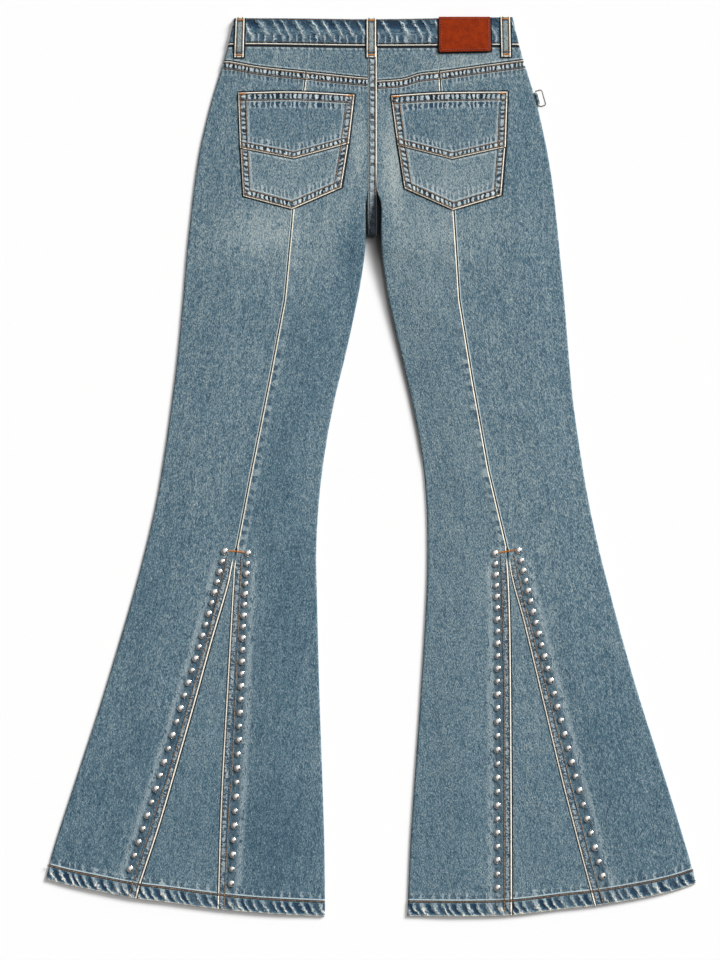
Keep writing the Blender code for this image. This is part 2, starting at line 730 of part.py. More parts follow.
def build_front():
    """The plain front, which lies flat under the back."""
    plain = always(PLAIN)
    inset_left = moved(left_side, FRONT_INSET)
    inset_right = moved(right_side, -FRONT_INSET)
    placket = moved(kinked(FLY_SIDE), -GAP)

    def body_side(column, inset, gap):
        edge = moved(line(INNER_EDGES, column), inset)
        return lambda y: edge(y) if y > FRONT_FORK else FRONT_CENTRE + gap / UNIT

    left_body = body_side(1, -FRONT_INSET, -HALF_GAP)

    def beside_fly(y):
        return placket(y) if y < FLY_SIDE[-1][0] else left_body(y)

    rows = plain_rows(FRONT_ROWS)
    top = moved(waist_bottom, 2.0 * GAP)
    floor = level(0.0)
    panel("front_left", (inset_left, beside_fly), (top, moved(hem_left, -FRONT_INSET)), (plain, plain),
          rows, 2, FRONT_WALL, MID_BLUE, floor)
    panel("front_right", (body_side(2, FRONT_INSET, GAP), inset_right), (top, moved(hem_right, -FRONT_INSET)),
          (plain, plain), rows, 2, FRONT_WALL, MID_BLUE, floor)
    panel("fly", (kinked(FLY_SIDE), level_side(FRONT_CENTRE)), (top, level_side(FLY_ROWS[-1])), (plain, plain),
          plain_rows(FLY_ROWS), 1, FRONT_WALL, MID_BLUE, floor)
    band_rows = cross_rows(BAND_LENGTH, PLAIN, PLAIN, 0)
    raised = level(FRONT_LOOP_WALL + GAP)
    band_top = moved(waist_top, HALF_GAP)
    middle = level_side(FRONT_CENTRE)
    panel("waistband_front_left", (inset_left, moved(middle, -HALF_GAP)), (band_top, waist_bottom), (plain, plain),
          band_rows, 3, FRONT_WALL, DARK_BLUE, raised)
    panel("waistband_front_right", (moved(middle, HALF_GAP), inset_right), (band_top, waist_bottom), (plain, plain),
          band_rows, 3, FRONT_WALL, DARK_BLUE, raised)
    loop_rows = cross_rows(FRONT_LOOP_LENGTH, PLAIN, PLAIN, 0)
    for name, near, far in FRONT_LOOPS:
        panel(name, (level_side(near), level_side(far)), (moved(band_top, GAP), moved(waist_bottom, -GAP)),
              (plain, plain), loop_rows, 0, FRONT_LOOP_WALL, MID_BLUE, floor)
    mesh = bmesh.new()
    bmesh.ops.create_cone(mesh, cap_ends=True, cap_tris=False, segments=BUTTON_SIDES, radius1=BUTTON_RADIUS,
                          radius2=BUTTON_RADIUS, depth=FRONT_LOOP_WALL)
    bmesh.ops.translate(mesh, verts=mesh.verts, vec=place(*BUTTON_PLACE, 0.5 * FRONT_LOOP_WALL))
    finished("waist_button", mesh, RING_GREY, 1.0, 0.35)


def swept(name, rings, colour, metallic, roughness):
    """A body whose skin runs through rings of points and back to the first."""
    mesh = bmesh.new()
    loops = [[mesh.verts.new(point) for point in ring] for ring in rings]
    count = len(rings[0])
    for near, far in zip(loops, loops[1:] + loops[:1]):
        for k in range(count):
            m = (k + 1) % count
            mesh.faces.new((near[k], near[m], far[m], far[k]))
    thing = finished(name, mesh, colour, metallic, roughness)
    thing.data.shade_smooth()
    return thing


def build_hip_ring():
    """A wire ring whose inner leg runs through a short denim loop at the right side."""
    start = place(*HIP_START, RING_LEVEL)
    along = (place(*HIP_END, RING_LEVEL) - start).normalized()
    outwards = Vector((-along.y, along.x, 0.0))
    up = Vector((0.0, 0.0, 1.0))
    turns = [2.0 * math.pi * k / ROUND_SIDES for k in range(ROUND_SIDES)]

    def spot(run, out):
        return start + run * along + out * outwards

    corners = (
        (RING_TO - RING_FAR_CORNER, RING_FAR_OUT - RING_FAR_CORNER, RING_FAR_CORNER, 0.0),
        (RING_FROM + RING_FAR_CORNER, RING_FAR_OUT - RING_FAR_CORNER, RING_FAR_CORNER, 0.5),
        (RING_FROM + RING_CORNER, RING_AXIS_OUT + RING_CORNER, RING_CORNER, 1.0),
        (RING_TO - RING_CORNER, RING_AXIS_OUT + RING_CORNER, RING_CORNER, 1.5),
    )
    axis_middle = spot(0.5 * (RING_FROM + RING_TO), RING_AXIS_OUT)
    rings = []
    for run, out, radius, quarter in corners:
        for step in range(4):
            turn = math.pi * (quarter + step / 6.0)
            centre = spot(run + radius * math.cos(turn), out + radius * math.sin(turn)) - axis_middle
            away = math.cos(turn) * along + math.sin(turn) * outwards
            rings.append([centre + RING_WIRE * (math.cos(t) * away + math.sin(t) * up) for t in turns])
    ring = swept("side_ring", rings, RING_GREY, 1.0, 0.3)
    ring.location = axis_middle
    tube = []
    for run, radius in (
        (HIP_LOOP_FROM, HIP_LOOP_INSIDE),
        (HIP_LOOP_FROM, HIP_LOOP_OUTSIDE),
        (HIP_LOOP_TO, HIP_LOOP_OUTSIDE),
        (HIP_LOOP_TO, HIP_LOOP_INSIDE),
    ):
        centre = spot(run, RING_AXIS_OUT)
        tube.append([centre + radius * (math.cos(t) * outwards + math.sin(t) * up) for t in turns])
    swept("side_loop", tube, LIGHT_BLUE, 0.0, 0.9)


def stud_place(table):
    """The place of a stud by its number along a row."""
    across = line(table, 1)
    down = line(table, 2)
    return lambda number: (across(number), down(number))


def build_studs():
    """Rows of dome studs, each row joined by a narrow tape along its middle."""
    for name, table in STUD_ROWS:
        spot = stud_place(table)
        upper = []
        lower = []
        for k in range(STUD_COUNT):
            x, y = spot(k)
            near_x, near_y = spot(k - 0.1)
            far_x, far_y = spot(k + 0.1)
            run = Vector((far_x - near_x, far_y - near_y)).normalized()
            upper_row = []
            lower_row = []
            for side in (-1.0, 1.0):
                out = side * STUD_TAPE_HALF / UNIT
                point_x = x - run.y * out
                point_y = y + run.x * out
                height = on_panels(point_x, point_y) + STUD_TAPE_FOOT
                upper_row.append(place(point_x, point_y, height + STUD_TAPE_WALL))
                lower_row.append(place(point_x, point_y, height))
            upper.append(upper_row)
            lower.append(lower_row)
        tape = surface(name, upper, lower, STUD_SILVER)
        shader = tape.data.materials[0].node_tree.nodes["Principled BSDF"]
        shader.inputs["Metallic"].default_value = 1.0
        shader.inputs["Roughness"].default_value = 0.25
        mesh = bmesh.new()
        for k in range(STUD_COUNT):
            add_dome(mesh, *spot(k), STUD_RADII[k % 2])
        domes = finished(name + "_domes", mesh, STUD_SILVER, 1.0, 0.25)
        domes.hide_render = True
        domes.display_type = "WIRE"
        join = tape.modifiers.new("domes", "BOOLEAN")
        join.operation = "UNION"
        join.solver = "EXACT"
        join.object = domes


def add_dome(mesh, x, y, radius):
    """A closed dome that stands on the panels."""
    rings = []
    for share, rise in STUD_RINGS:
        ring = []
        for k in range(STUD_SIDES):
            turn = 2.0 * math.pi * (k + 0.5) / STUD_SIDES
            out = share * radius / UNIT
            point_x = x + out * math.cos(turn)
            point_y = y + out * math.sin(turn)
            base = on_panels(point_x, point_y)
            ring.append(mesh.verts.new(place(point_x, point_y, base + rise * STUD_HEIGHT)))
        rings.append(ring)
    middle = on_panels(x, y)
    peak = mesh.verts.new(place(x, y, middle + STUD_HEIGHT))
    foot = mesh.verts.new(place(x, y, middle))
    for k in range(STUD_SIDES):
        m = (k + 1) % STUD_SIDES
        for near, far in zip(rings, rings[1:]):
            mesh.faces.new((near[k], near[m], far[m], far[k]))
        mesh.faces.new((rings[-1][k], rings[-1][m], peak))
        mesh.faces.new((rings[0][m], rings[0][k], foot))


for old in list(bpy.data.objects):
    bpy.data.objects.remove(old)
build_legs()
build_seat()
build_pockets()
build_waist_trim()
build_front()
build_hip_ring()
build_studs()
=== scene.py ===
# %% [markdown]
# # Flared jeans, laid flat with the back up
# The real object is a pair of washed jeans: twill panels, folded seams, thread, domed studs, a leather
# patch and a small wire ring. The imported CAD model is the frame. Every cloth piece here is a finer shell
# on the form of its solid, so the pattern lines of the part come first, as short tables in pattern units.

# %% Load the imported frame
import collections
import math

import bmesh
import bpy
import numpy as np
from mathutils import Matrix, Vector
from mathutils.bvhtree import BVHTree


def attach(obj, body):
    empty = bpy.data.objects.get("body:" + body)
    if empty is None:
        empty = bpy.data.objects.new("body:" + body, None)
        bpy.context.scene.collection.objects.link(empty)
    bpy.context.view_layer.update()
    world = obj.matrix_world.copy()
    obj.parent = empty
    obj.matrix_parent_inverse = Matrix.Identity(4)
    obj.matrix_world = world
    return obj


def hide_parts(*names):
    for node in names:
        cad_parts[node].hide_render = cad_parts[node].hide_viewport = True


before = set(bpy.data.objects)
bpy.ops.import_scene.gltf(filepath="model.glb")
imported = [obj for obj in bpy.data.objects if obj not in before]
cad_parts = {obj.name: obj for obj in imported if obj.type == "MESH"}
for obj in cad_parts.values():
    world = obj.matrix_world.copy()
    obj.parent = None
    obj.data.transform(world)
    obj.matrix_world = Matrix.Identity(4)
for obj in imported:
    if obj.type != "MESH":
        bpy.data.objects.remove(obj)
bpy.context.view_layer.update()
MM = 0.001
print("CAD nodes:", len(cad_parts))

# %% [markdown]
# ## The pattern
# Jeans are cut from a paper pattern, so the places are given as one: x to the right and y down from the top
# left corner of the sheet, in units of 1.2222 mm. A smooth curve through a few rows is enough for each
# edge.

# %% Sizes of the pattern sheet and walls of the cloth
UNIT = 0.0012222
SHEET_CENTRE_X = 371.28
SHEET_CENTRE_Y = 466.55
GAP = 0.3 * MM
HALF_GAP = 0.5 * GAP
DENIM = 1.3 * MM
FRONT_WALL = 1.4 * MM
BACK_REST = FRONT_WALL + GAP
WAIST_WALL = 2.3 * MM
WAIST_LIFT = 1.7 * MM
FRONT_LOOP_WALL = 1.1 * MM
FRONT_INSET = 2.5 * MM
POCKET_WALL = 1.2 * MM
PATCH_WALL = 1.4 * MM
LOOP_WALL = 1.3 * MM
SEAM_LIFT = 0.4 * MM
POCKET_STEP = 0.6 * MM

# %% Edges of the jeans: y, x on the left, x on the right
SIDES = (
    (17, 234.6, 512.6), (31, 231.4, 515.8), (45, 228.0, 519.2), (62, 223.4, 524.0), (80, 217.8, 529.6),
    (100, 211.8, 535.8), (120, 206.6, 540.6), (150, 199.8, 547.0), (180, 195.0, 552.0), (210, 191.4, 555.6),
    (250, 187.0, 559.6), (300, 182.8, 564.4), (360, 177.0, 569.2), (400, 172.0, 573.0), (450, 165.0, 580.0),
    (500, 156.6, 588.4), (550, 145.2, 599.2), (600, 131.8, 612.0), (650, 117.0, 625.4), (700, 101.8, 640.0),
    (750, 85.6, 656.0), (800, 69.2, 671.8), (850, 53.2, 687.0), (880, 45.6, 695.8),
)
INNER_EDGES = (
    (190, 367.6, 376.9), (204, 366.2, 380.4), (236, 366.0, 380.4), (250, 365.2, 381.2), (280, 361.0, 385.2),
    (300, 357.2, 388.6), (330, 351.0, 395.2), (360, 344.2, 402.2), (400, 334.4, 411.4), (450, 325.2, 421.0),
    (500, 319.0, 426.2), (550, 316.2, 427.4), (600, 317.0, 426.2), (700, 319.6, 420.2), (800, 323.0, 413.2),
    (850, 324.4, 410.0), (915, 325.0, 407.4),
)
LONG_SEAMS = (
    (46, 310.8, 436.6), (72, 306.4, 439.0), (93, 304.0, 440.4), (209, 293.5, 453.2), (300, 285.0, 459.0),
    (380, 270.0, 472.0), (470, 252.0, 488.0), (548, 237.0, 506.5),
)

# %% Sides of the gussets: y, outer side, inner side
GUSSET_LEFT = (
    (548, 236.4, 237.6), (566, 232.4, 234.2), (584, 228.8, 233.0), (640, 212.4, 229.8), (700, 195.8, 226.4),
    (780, 173.0, 221.9), (830, 158.2, 219.8), (884, 140.4, 218.2), (899, 136.4, 217.8), (910, 133.0, 217.5),
)
GUSSET_RIGHT = (
    (548, 507.2, 506.0), (566, 509.2, 507.6), (584, 512.9, 508.8), (617, 522.2, 510.0), (665, 533.9, 510.7),
    (713, 545.4, 511.1), (780, 561.5, 511.5), (828, 573.9, 511.7), (866, 583.9, 511.8), (905, 594.5, 511.9),
    (917, 597.8, 511.9),
)

# %% Lines that run across: x, y
WAIST_TOP_LINE = ((234.6, 18.0), (300, 18.4), (372, 19.2), (440, 18.2), (512.6, 17.0))
WAIST_BOTTOM_LINE = ((228, 45.2), (250, 44.8), (372, 46.4), (519.2, 45.4))
YOKE_LINE_LEFT = ((223, 61.9), (230, 61.9), (258, 67.0), (306, 72.2), (353, 77.2), (368, 78.4))
YOKE_LINE_RIGHT = ((376, 81.4), (403, 79.2), (420, 74.2), (440, 72.0), (480, 66.4), (524.5, 60.4))
HEM_LINE_LEFT = (
    (45, 878.6), (66, 884.2), (97, 890.6), (136, 898.2), (170, 902.4), (217, 908.6), (262, 912.8),
    (325, 916.2),
)
HEM_LINE_RIGHT = (
    (407, 915.8), (470, 916.0), (513, 914.6), (564, 908.6), (597, 905.0), (646, 896.8), (676, 889.8),
    (696, 883.2),
)

# %% Pockets, belt loops and patch
POCKET_SIDES_LEFT = ((93, 238.2, 354.7), (147, 240.2, 348.3), (196, 243.0, 340.3), (210, 243.8, 338.4))
POCKET_SIDES_RIGHT = ((93, 390.6, 507.2), (147, 397.8, 505.4), (190, 404.4, 501.8), (210, 407.4, 500.0))
POCKET_MOUTH_LEFT = ((238, 93.2), (294, 92.2), (355, 95.4))
POCKET_MOUTH_RIGHT = ((390, 96.2), (439, 93.2), (508, 92.2))
POCKET_V_LEFT = ((239, 148.2), (294, 159.0), (349, 143.7))
POCKET_V_RIGHT = ((397, 145.4), (452, 159.4), (506, 147.2))
POCKET_END_LEFT = ((242.6, 196.2), (292, 209.4), (342, 187.8))
POCKET_END_RIGHT = ((404, 188.4), (453, 210.4), (502, 195.4))
BELT_LOOPS = (
    ("belt_loop_left", ((17.8, 236.0, 244.7), (57.9, 234.4, 243.6))),
    ("belt_loop_centre", ((18.6, 366.6, 375.9), (58.0, 366.6, 375.9))),
    ("belt_loop_right", ((16.9, 500.2, 509.7), (57.4, 501.2, 510.5))),
)
PATCH_SIDES = ((17.6, 438.6, 489.8), (53.0, 438.8, 490.4))
PATCH_FOOT = ((438, 53.0), (490, 51.9))
print("pocket mouth, mm:", round((POCKET_SIDES_LEFT[0][2] - POCKET_SIDES_LEFT[0][1]) * UNIT / MM))

# %% Rows of studs: number along the row, x, y
STUDS_LEFT_OUTER = ((0, 224.7, 551.1), (6, 208.9, 613.4), (12, 188.4, 682.4), (18, 164.3, 761.9),
                    (26, 130.3, 868.6))
STUDS_LEFT_INNER = ((0, 248.1, 553.2), (6, 243.8, 615.4), (12, 241.2, 686.1), (18, 237.5, 768.0),
                    (26, 231.2, 883.2))
STUDS_RIGHT_INNER = ((0, 494.9, 553.2), (6, 497.2, 619.3), (12, 497.5, 694.3), (18, 497.4, 777.7),
                     (26, 497.3, 887.5))
STUDS_RIGHT_OUTER = ((0, 518.6, 550.4), (6, 532.9, 611.7), (12, 550.6, 680.5), (18, 571.7, 762.0),
                     (26, 602.4, 875.7))

# %% How the cloth rises: crowns (y, rise, width) and soft ridges (start, end, half width, rise)
CROWNS = (
    (17, 0.0006, 40), (80, 0.0012, 44), (150, 0.0018, 50), (230, 0.0021, 50), (400, 0.0018, 44),
    (550, 0.0017, 46), (750, 0.0013, 60), (916, 0.0010, 50),
)
FOLDS = (
    (330, 236, 236, 268, 24, 0.0006), (414, 236, 500, 270, 24, 0.0006), (206, 250, 196, 340, 22, 0.0004),
    (540, 250, 548, 340, 22, 0.0004), (196, 430, 290, 404, 24, 0.0005), (306, 470, 230, 498, 22, 0.0005),
    (552, 430, 460, 404, 24, 0.0005), (440, 470, 516, 498, 22, 0.0005), (176, 640, 110, 870, 24, 0.0006),
    (286, 620, 270, 880, 24, 0.0006), (572, 640, 640, 870, 24, 0.0006), (458, 620, 462, 880, 24, 0.0006),
    (206, 740, 180, 890, 22, 0.0004), (538, 740, 552, 890, 22, 0.0004),
)
# Finer creases that only the looks need: start x, y, end x, y, half width, rise.
CREASES = (
    (352, 262, 300, 300, 9, 0.00035), (346, 292, 270, 330, 11, 0.0003), (392, 262, 440, 302, 9, 0.00035),
    (398, 292, 470, 336, 11, 0.0003), (194, 232, 232, 262, 10, 0.0003), (552, 236, 512, 266, 10, 0.0003),
    (182, 372, 250, 356, 12, 0.00025), (566, 380, 500, 362, 12, 0.00025), (176, 452, 214, 440, 10, 0.0003),
    (574, 458, 530, 444, 10, 0.0003), (312, 520, 262, 548, 12, 0.00025), (430, 524, 474, 552, 12, 0.00025),
    (150, 600, 136, 700, 10, 0.0003), (604, 610, 618, 700, 10, 0.0003), (300, 660, 292, 760, 12, 0.0003),
    (440, 668, 446, 770, 12, 0.0003), (96, 780, 74, 862, 10, 0.0003), (652, 770, 676, 860, 10, 0.0003),
    (262, 800, 256, 892, 9, 0.00025), (476, 790, 480, 890, 9, 0.00025),
)
print("ridges:", len(FOLDS), "finer creases:", len(CREASES))

# %% Places named on their own
FORK_TOP = 200
CROTCH = 236
CROTCH_RUN = 30.0
SEAT_TOP = 78.4
SEAT_END = 235.5
SEAT_LEFT = 367.6
SEAT_RIGHT = 376.9
HEM_LEVEL = 916.0
WAIST_FOOT = 45.4
LOOP_FOOT = 58.5
GUSSET_POINT = 564
FRONT_CENTRE = 371.7
FRONT_FORK = 233.0
FLY_SIDE = ((46, 344.0), (140, 344.0), (165, 350.0), (182, 368.0))

# %% [markdown]
# ## Curves through the tables
# The solids were built from these curves, so the shells use the same ones and fit them to a hair. Each
# function takes whole arrays, because a leg has over twenty thousand points.

# %% Smooth and straight lines through a table
def eased(share):
    share = np.clip(share, 0.0, 1.0)
    return share * share * (3.0 - 2.0 * share)


def line(rows, column=1):
    """The function that runs smoothly through one column of a table, by its first column."""
    places = np.array([row[0] for row in rows], float)
    values = np.array([row[column] for row in rows], float)
    slopes = np.gradient(values)
    slopes[1:-1] = (values[2:] - values[:-2]) / (places[2:] - places[:-2])
    slopes[0] = (values[1] - values[0]) / (places[1] - places[0])
    slopes[-1] = (values[-1] - values[-2]) / (places[-1] - places[-2])

    def value(place):
        place = np.asarray(place, float)
        index = np.clip(np.searchsorted(places, place, side="right") - 1, 0, len(places) - 2)
        span = places[index + 1] - places[index]
        share = np.clip((place - places[index]) / span, 0.0, 1.0)
        rise = values[index + 1] - values[index]
        near = span * slopes[index] * share * (1.0 - share) ** 2
        far = span * slopes[index + 1] * share**2 * (share - 1.0)
        before = slopes[0] * np.minimum(place - places[0], 0.0)
        after = slopes[-1] * np.maximum(place - places[-1], 0.0)
        return values[index] + rise * eased(share) + near + far + before + after

    return value


def kinked(rows, column=1):
    """The function that runs straight from row to row of a table."""
    places = np.array([row[0] for row in rows], float)
    values = np.array([row[column] for row in rows], float)

    def value(place):
        place = np.asarray(place, float)
        index = np.clip(np.searchsorted(places, place, side="left") - 1, 0, len(places) - 2)
        share = (place - places[index]) / (places[index + 1] - places[index])
        return values[index] + share * (values[index + 1] - values[index])

    return value


def moved(function, distance):
    """The same line, a distance in metres further on."""
    return lambda place: function(place) + distance / UNIT


def steady(position):
    """A line that stays at one position."""
    return lambda place: position + 0.0 * np.asarray(place, float)


# %% The lines of the jeans
left_side = line(SIDES, 1)
right_side = line(SIDES, 2)
left_inner = line(INNER_EDGES, 1)
right_inner = line(INNER_EDGES, 2)
crown_rise = line(CROWNS, 1)
crown_width = line(CROWNS, 2)
waist_top = line(WAIST_TOP_LINE)
waist_bottom = line(WAIST_BOTTOM_LINE)
yoke_left = line(YOKE_LINE_LEFT)
yoke_right = line(YOKE_LINE_RIGHT)
hem_left = line(HEM_LINE_LEFT)
hem_right = line(HEM_LINE_RIGHT)
print("leg width at the knee, mm:", round(float(left_inner(500) - left_side(500)) * UNIT / MM, 1))

# %% [markdown]
# ## How the cloth lies
# Laid flat, the back rests on the front. It rises a millimetre or two towards the middle of each leg, and
# a few soft ridges cross it. All pieces share this one form, so what lies on a panel always follows the
# panel.

# %% Height of the cloth at a place
RIDGE_START = 0.12
RIDGE_SPAN = 0.76
WAIST_LIFT_END = 84.0
WAIST_LIFT_RUN = 34.0
SOFT_EDGE = 20.0
LOOP_DROP_START = WAIST_FOOT + 2.5
LOOP_DROP_RUN = 7.0
SEAT_SINK = 0.95
SEAT_RISE_RUN = 3.0


def edge_distance(x, y):
    """Distance to the nearest edge of the jeans, in pattern units."""
    nearest = np.minimum(x - left_side(y), right_side(y) - x)
    fork = np.maximum(np.maximum(left_inner(y) - x, x - right_inner(y)), 0.0)
    closed = 1.0 - eased((y - CROTCH) / CROTCH_RUN)
    below = np.minimum(nearest, fork + closed * crown_width(y))
    return np.maximum(0.0, np.where(y > CROTCH, below, nearest))


def ridges(rows, x, y):
    """Rise of soft ridges at a place."""
    rise = 0.0 * x
    for start_x, start_y, end_x, end_y, half_width, height in rows:
        run_x, run_y = end_x - start_x, end_y - start_y
        share = np.clip(((x - start_x) * run_x + (y - start_y) * run_y) / (run_x**2 + run_y**2), 0.0, 1.0)
        away = np.hypot(x - start_x - share * run_x, y - start_y - share * run_y) / half_width
        crest = height * (1.0 - away**2) ** 2 * np.sin(math.pi * (RIDGE_START + RIDGE_SPAN * share))
        rise += np.where(away < 1.0, crest, 0.0)
    return rise


def lie(x, y):
    """Height of the underside of the upper layer at a place."""
    inside = edge_distance(x, y)
    crown = crown_rise(y) * eased(inside / crown_width(y))
    lift = WAIST_LIFT * eased((WAIST_LIFT_END - y) / WAIST_LIFT_RUN)
    soft = eased(inside / SOFT_EDGE) * (ridges(FOLDS, x, y) + ridges(CREASES, x, y))
    return BACK_REST + crown + lift + soft


def on_panels(x, y):
    """Height of the underside of a piece that lies on the panels."""
    return lie(x, y) + DENIM + GAP


def on_waistband(x, y):
    """Height of the underside of the patch, which stays flat past the foot of the waistband."""
    return lie(x, np.minimum(y, WAIST_FOOT)) + WAIST_WALL + GAP


def over_waistband(x, y):
    """Height of the underside of a belt loop, which comes down from the waistband to the yoke."""
    share = eased((y - LOOP_DROP_START) / LOOP_DROP_RUN)
    return (1.0 - share) * on_waistband(x, y) + share * on_panels(x, y)


def in_seat(x, y):
    """Height of the underside of the seat seam, which sinks between the thighs in the fork."""
    sunk = eased((y - FORK_TOP) / (SEAT_END - FORK_TOP))
    raised = SEAM_LIFT * eased((y - LOOP_FOOT) / SEAT_RISE_RUN)
    return BACK_REST + (1.0 - SEAT_SINK * sunk) * (lie(x, y) + raised - BACK_REST)


def place(x, y, height=0.0):
    return Vector(((x - SHEET_CENTRE_X) * UNIT, (SHEET_CENTRE_Y - y) * UNIT, height))


print("highest cloth, mm:", round(float(lie(np.array([250.0]), np.array([240.0]))[0] + DENIM) / MM, 2))

# %% [markdown]
# ## Borders
# A seam in washed denim is never even: thread pulls the folded cloth into small puckers, and the wash wears
# their crests pale and leaves their valleys dark. Each border of a piece therefore carries two numbers at
# every point: how far the point is from the edge, and a beat that counts the puckers. The mesh uses them
# for relief, and the materials use the same ones for colour, so the two always agree.

# %% Uneven beats
def wander(place, seed):
    """A slow uneven wave between about -1 and 1."""
    return (np.sin(1.7 * place + 1.3 * seed) + np.sin(2.9 * place + 2.1 * seed)
            + np.sin(4.7 * place + seed)) / 3.0


def uneven(turns, seed):
    return turns + 0.34 * wander(turns / 2.7, seed) + 0.13 * wander(turns * 1.3, seed + 5)


def even_beat(period, seed, lean=None):
    """Puckers every period in mm. lean moves them along by a distance that depends on how deep they are."""
    def beat(run, away):
        shifted = run + (lean(away) if lean else 0.0)
        return uneven(shifted / period, seed)

    return beat


def graded_beat(rows, seed):
    """Puckers whose period changes down a seam: rows of y and period in pattern units."""
    ys = np.arange(0.0, 960.0, 1.0)
    periods = np.interp(ys, [row[0] for row in rows], [row[1] for row in rows])
    turns = np.cumsum(1.0 / periods)
    return lambda run, away: uneven(np.interp(run / (UNIT / MM), ys, turns), seed)


# %% The kinds of border, in mm from the edge
Border = collections.namedtuple(
    "Border", "role steps lifts rolled amount beat puckers grooves",
    defaults=((), False, lambda y: 1.0 + 0.0 * y, even_beat(9.0, 1), (), ()),
)
ROLL_STEPS = (0, 0.03, 0.12, 0.3, 0.6, 1.1, 1.8, 2.6, 3.6, 5.0, 7.0)
SEAM_STEPS = (0, 0.2, 0.45, 0.8, 1.3, 2.0, 2.8, 3.7, 4.7, 5.8, 7.0, 8.3, 9.6, 11.2, 13.0)
BUTT_STEPS = (0, 0.3, 0.7, 1.2, 2.2, 3.4)
LAP_LIFTS = ((0, 0.1), (0.2, 0.34), (0.7, 0.5), (8.2, 0.4), (9.6, 0))
BUTT_LIFTS = ((0, -0.4), (0.35, -0.14), (1.0, 0))
FOLD_LIFTS = ((0, -0.9), (0.2, -0.4), (0.5, -0.12), (1.0, 0))
HEM_LIFTS = ((0, -0.1), (0.4, 0.4), (1.0, 0.6), (17.5, 0.6), (19.5, 0))
ROLL_DEPTH = 3.4
ROLL_SHAPE = 2.8
ROLL_FOOT = 0.12


def rolled_share(away):
    """Share of the full height over the rolled edge, by distance in mm."""
    inward = 1.0 - np.minimum(away, ROLL_DEPTH) / ROLL_DEPTH
    return np.maximum(ROLL_FOOT, (1.0 - inward**ROLL_SHAPE) ** (1.0 / ROLL_SHAPE))


print("parts of a border:", Border._fields)


# %% [markdown]
# ## A cloth piece
# One grid makes one piece. The grid's rows and columns are laid between the piece's two sides and its two
# cross lines, closer together at the borders, and raised to the height of the cloth. A Solidify modifier
# gives the wall downwards, so the top keeps its exact place.

# %% Where the points of a piece go
CORNER_STARTS = (70.0, 800.0)


def meeting(side, across, start):
    """Where a side, x by y, meets a line that runs across, y by x."""
    y = start
    for _ in range(12):
        y = float(across(side(y)))
    return float(side(y)), y


def graded(*stretches):
    """Rows of a piece as shares of its length. A stretch has a first y, a last y and a step."""
    places = np.concatenate([np.arange(low, high - 0.5 * step, step) for low, high, step in stretches])
    places = np.append(places, stretches[-1][1])
    return (places - places[0]) / (places[-1] - places[0])


def stops(width, first, last, between):
    """Places across each row in mm: the given steps at both borders and even ones between them."""
    near = np.array(first, float)[None, :]
    far = np.array(last, float)[None, ::-1]
    shrink = np.minimum(1.0, 0.8 * width / (near[0, -1] + far[0, 0]))[:, None]
    near = near * shrink
    far = width[:, None] - far * shrink
    share = (np.arange(1, between + 1) / (between + 1))[None, :]
    middle = near[:, -1:] + (far[:, :1] - near[:, -1:]) * share
    return np.concatenate([near, middle, far], axis=1)


def spread(sides, lines, down, first, last, between):
    """x and y of every point of a piece, and its distances in mm from the left and the right side."""
    corners = [[meeting(side, across, start) for side in sides]
               for across, start in zip(lines, CORNER_STARTS)]
    ys = [top[1] + down * (foot[1] - top[1]) for top, foot in zip(*corners)]
    xs = [side(y) for side, y in zip(sides, ys)]
    width = np.hypot(xs[1] - xs[0], ys[1] - ys[0]) * UNIT / MM
    across_mm = stops(width, first, last, between)
    over = across_mm / width[:, None]
    x = xs[0][:, None] + over * (xs[1] - xs[0])[:, None]
    y = ys[0][:, None] + over * (ys[1] - ys[0])[:, None]
    for across, (near, far), weight in zip(lines, corners, (1.0 - down, down)):
        straight_x = near[0] + over * (far[0] - near[0])
        straight_y = near[1] + over * (far[1] - near[1])
        y = y + weight[:, None] * (across(straight_x) - straight_y)
    return x, y, ys, across_mm, width[:, None] - across_mm


# %% Make the mesh of a piece, with its attributes
def window(away, start, end, soft=1.5):
    """1 between two distances in mm and 0 outside them."""
    return eased((away - start) / soft + 0.5) * eased((end - away) / soft + 0.5)


def grid_object(name, points, attributes):
    """A grid with its points moved to their places, facing up, its border edges sharp."""
    rows, columns = points.shape[:2]
    mesh = bmesh.new()
    bmesh.ops.create_grid(mesh, x_segments=columns - 1, y_segments=rows - 1, size=1.0)
    for edge in mesh.edges:
        edge.smooth = not edge.is_boundary
    data = bpy.data.meshes.new(name)
    mesh.to_mesh(data)
    mesh.free()
    corner = np.empty(len(data.vertices) * 3)
    data.vertices.foreach_get("co", corner)
    corner = corner.reshape(-1, 3)
    column = np.rint((corner[:, 0] + 1.0) * 0.5 * (columns - 1)).astype(int)
    row = np.rint((1.0 - corner[:, 1]) * 0.5 * (rows - 1)).astype(int)
    data.vertices.foreach_set("co", points[row, column].ravel())
    for label, values in attributes.items():
        kind = "FLOAT_VECTOR" if values.ndim == 3 else "FLOAT"
        layer = data.attributes.new(label, kind, "POINT")
        layer.data.foreach_set("vector" if values.ndim == 3 else "value", values[row, column].ravel())
    for polygon in data.polygons:
        polygon.use_smooth = True
    data.update()
    thing = bpy.data.objects.new(name, data)
    bpy.context.scene.collection.objects.link(thing)
    return thing


# %% Lay one cloth piece
GROOVE_WIDTH = 0.8
GRAIN_SHIFT = 0.37
FADES = []
surfaces = []


def fade_at(x, y):
    """How far the wash has faded the cloth at a place: below 0 is darker and 1 is the palest zone."""
    value = 0.0 * x
    for centre_x, centre_y, half_x, half_y, lean, amount in FADES:
        away_y = (y - centre_y) / half_y
        away_x = (x - centre_x - lean * (y - centre_y)) / half_x
        value += amount * np.exp(-(away_x**2) - away_y**2)
    return value


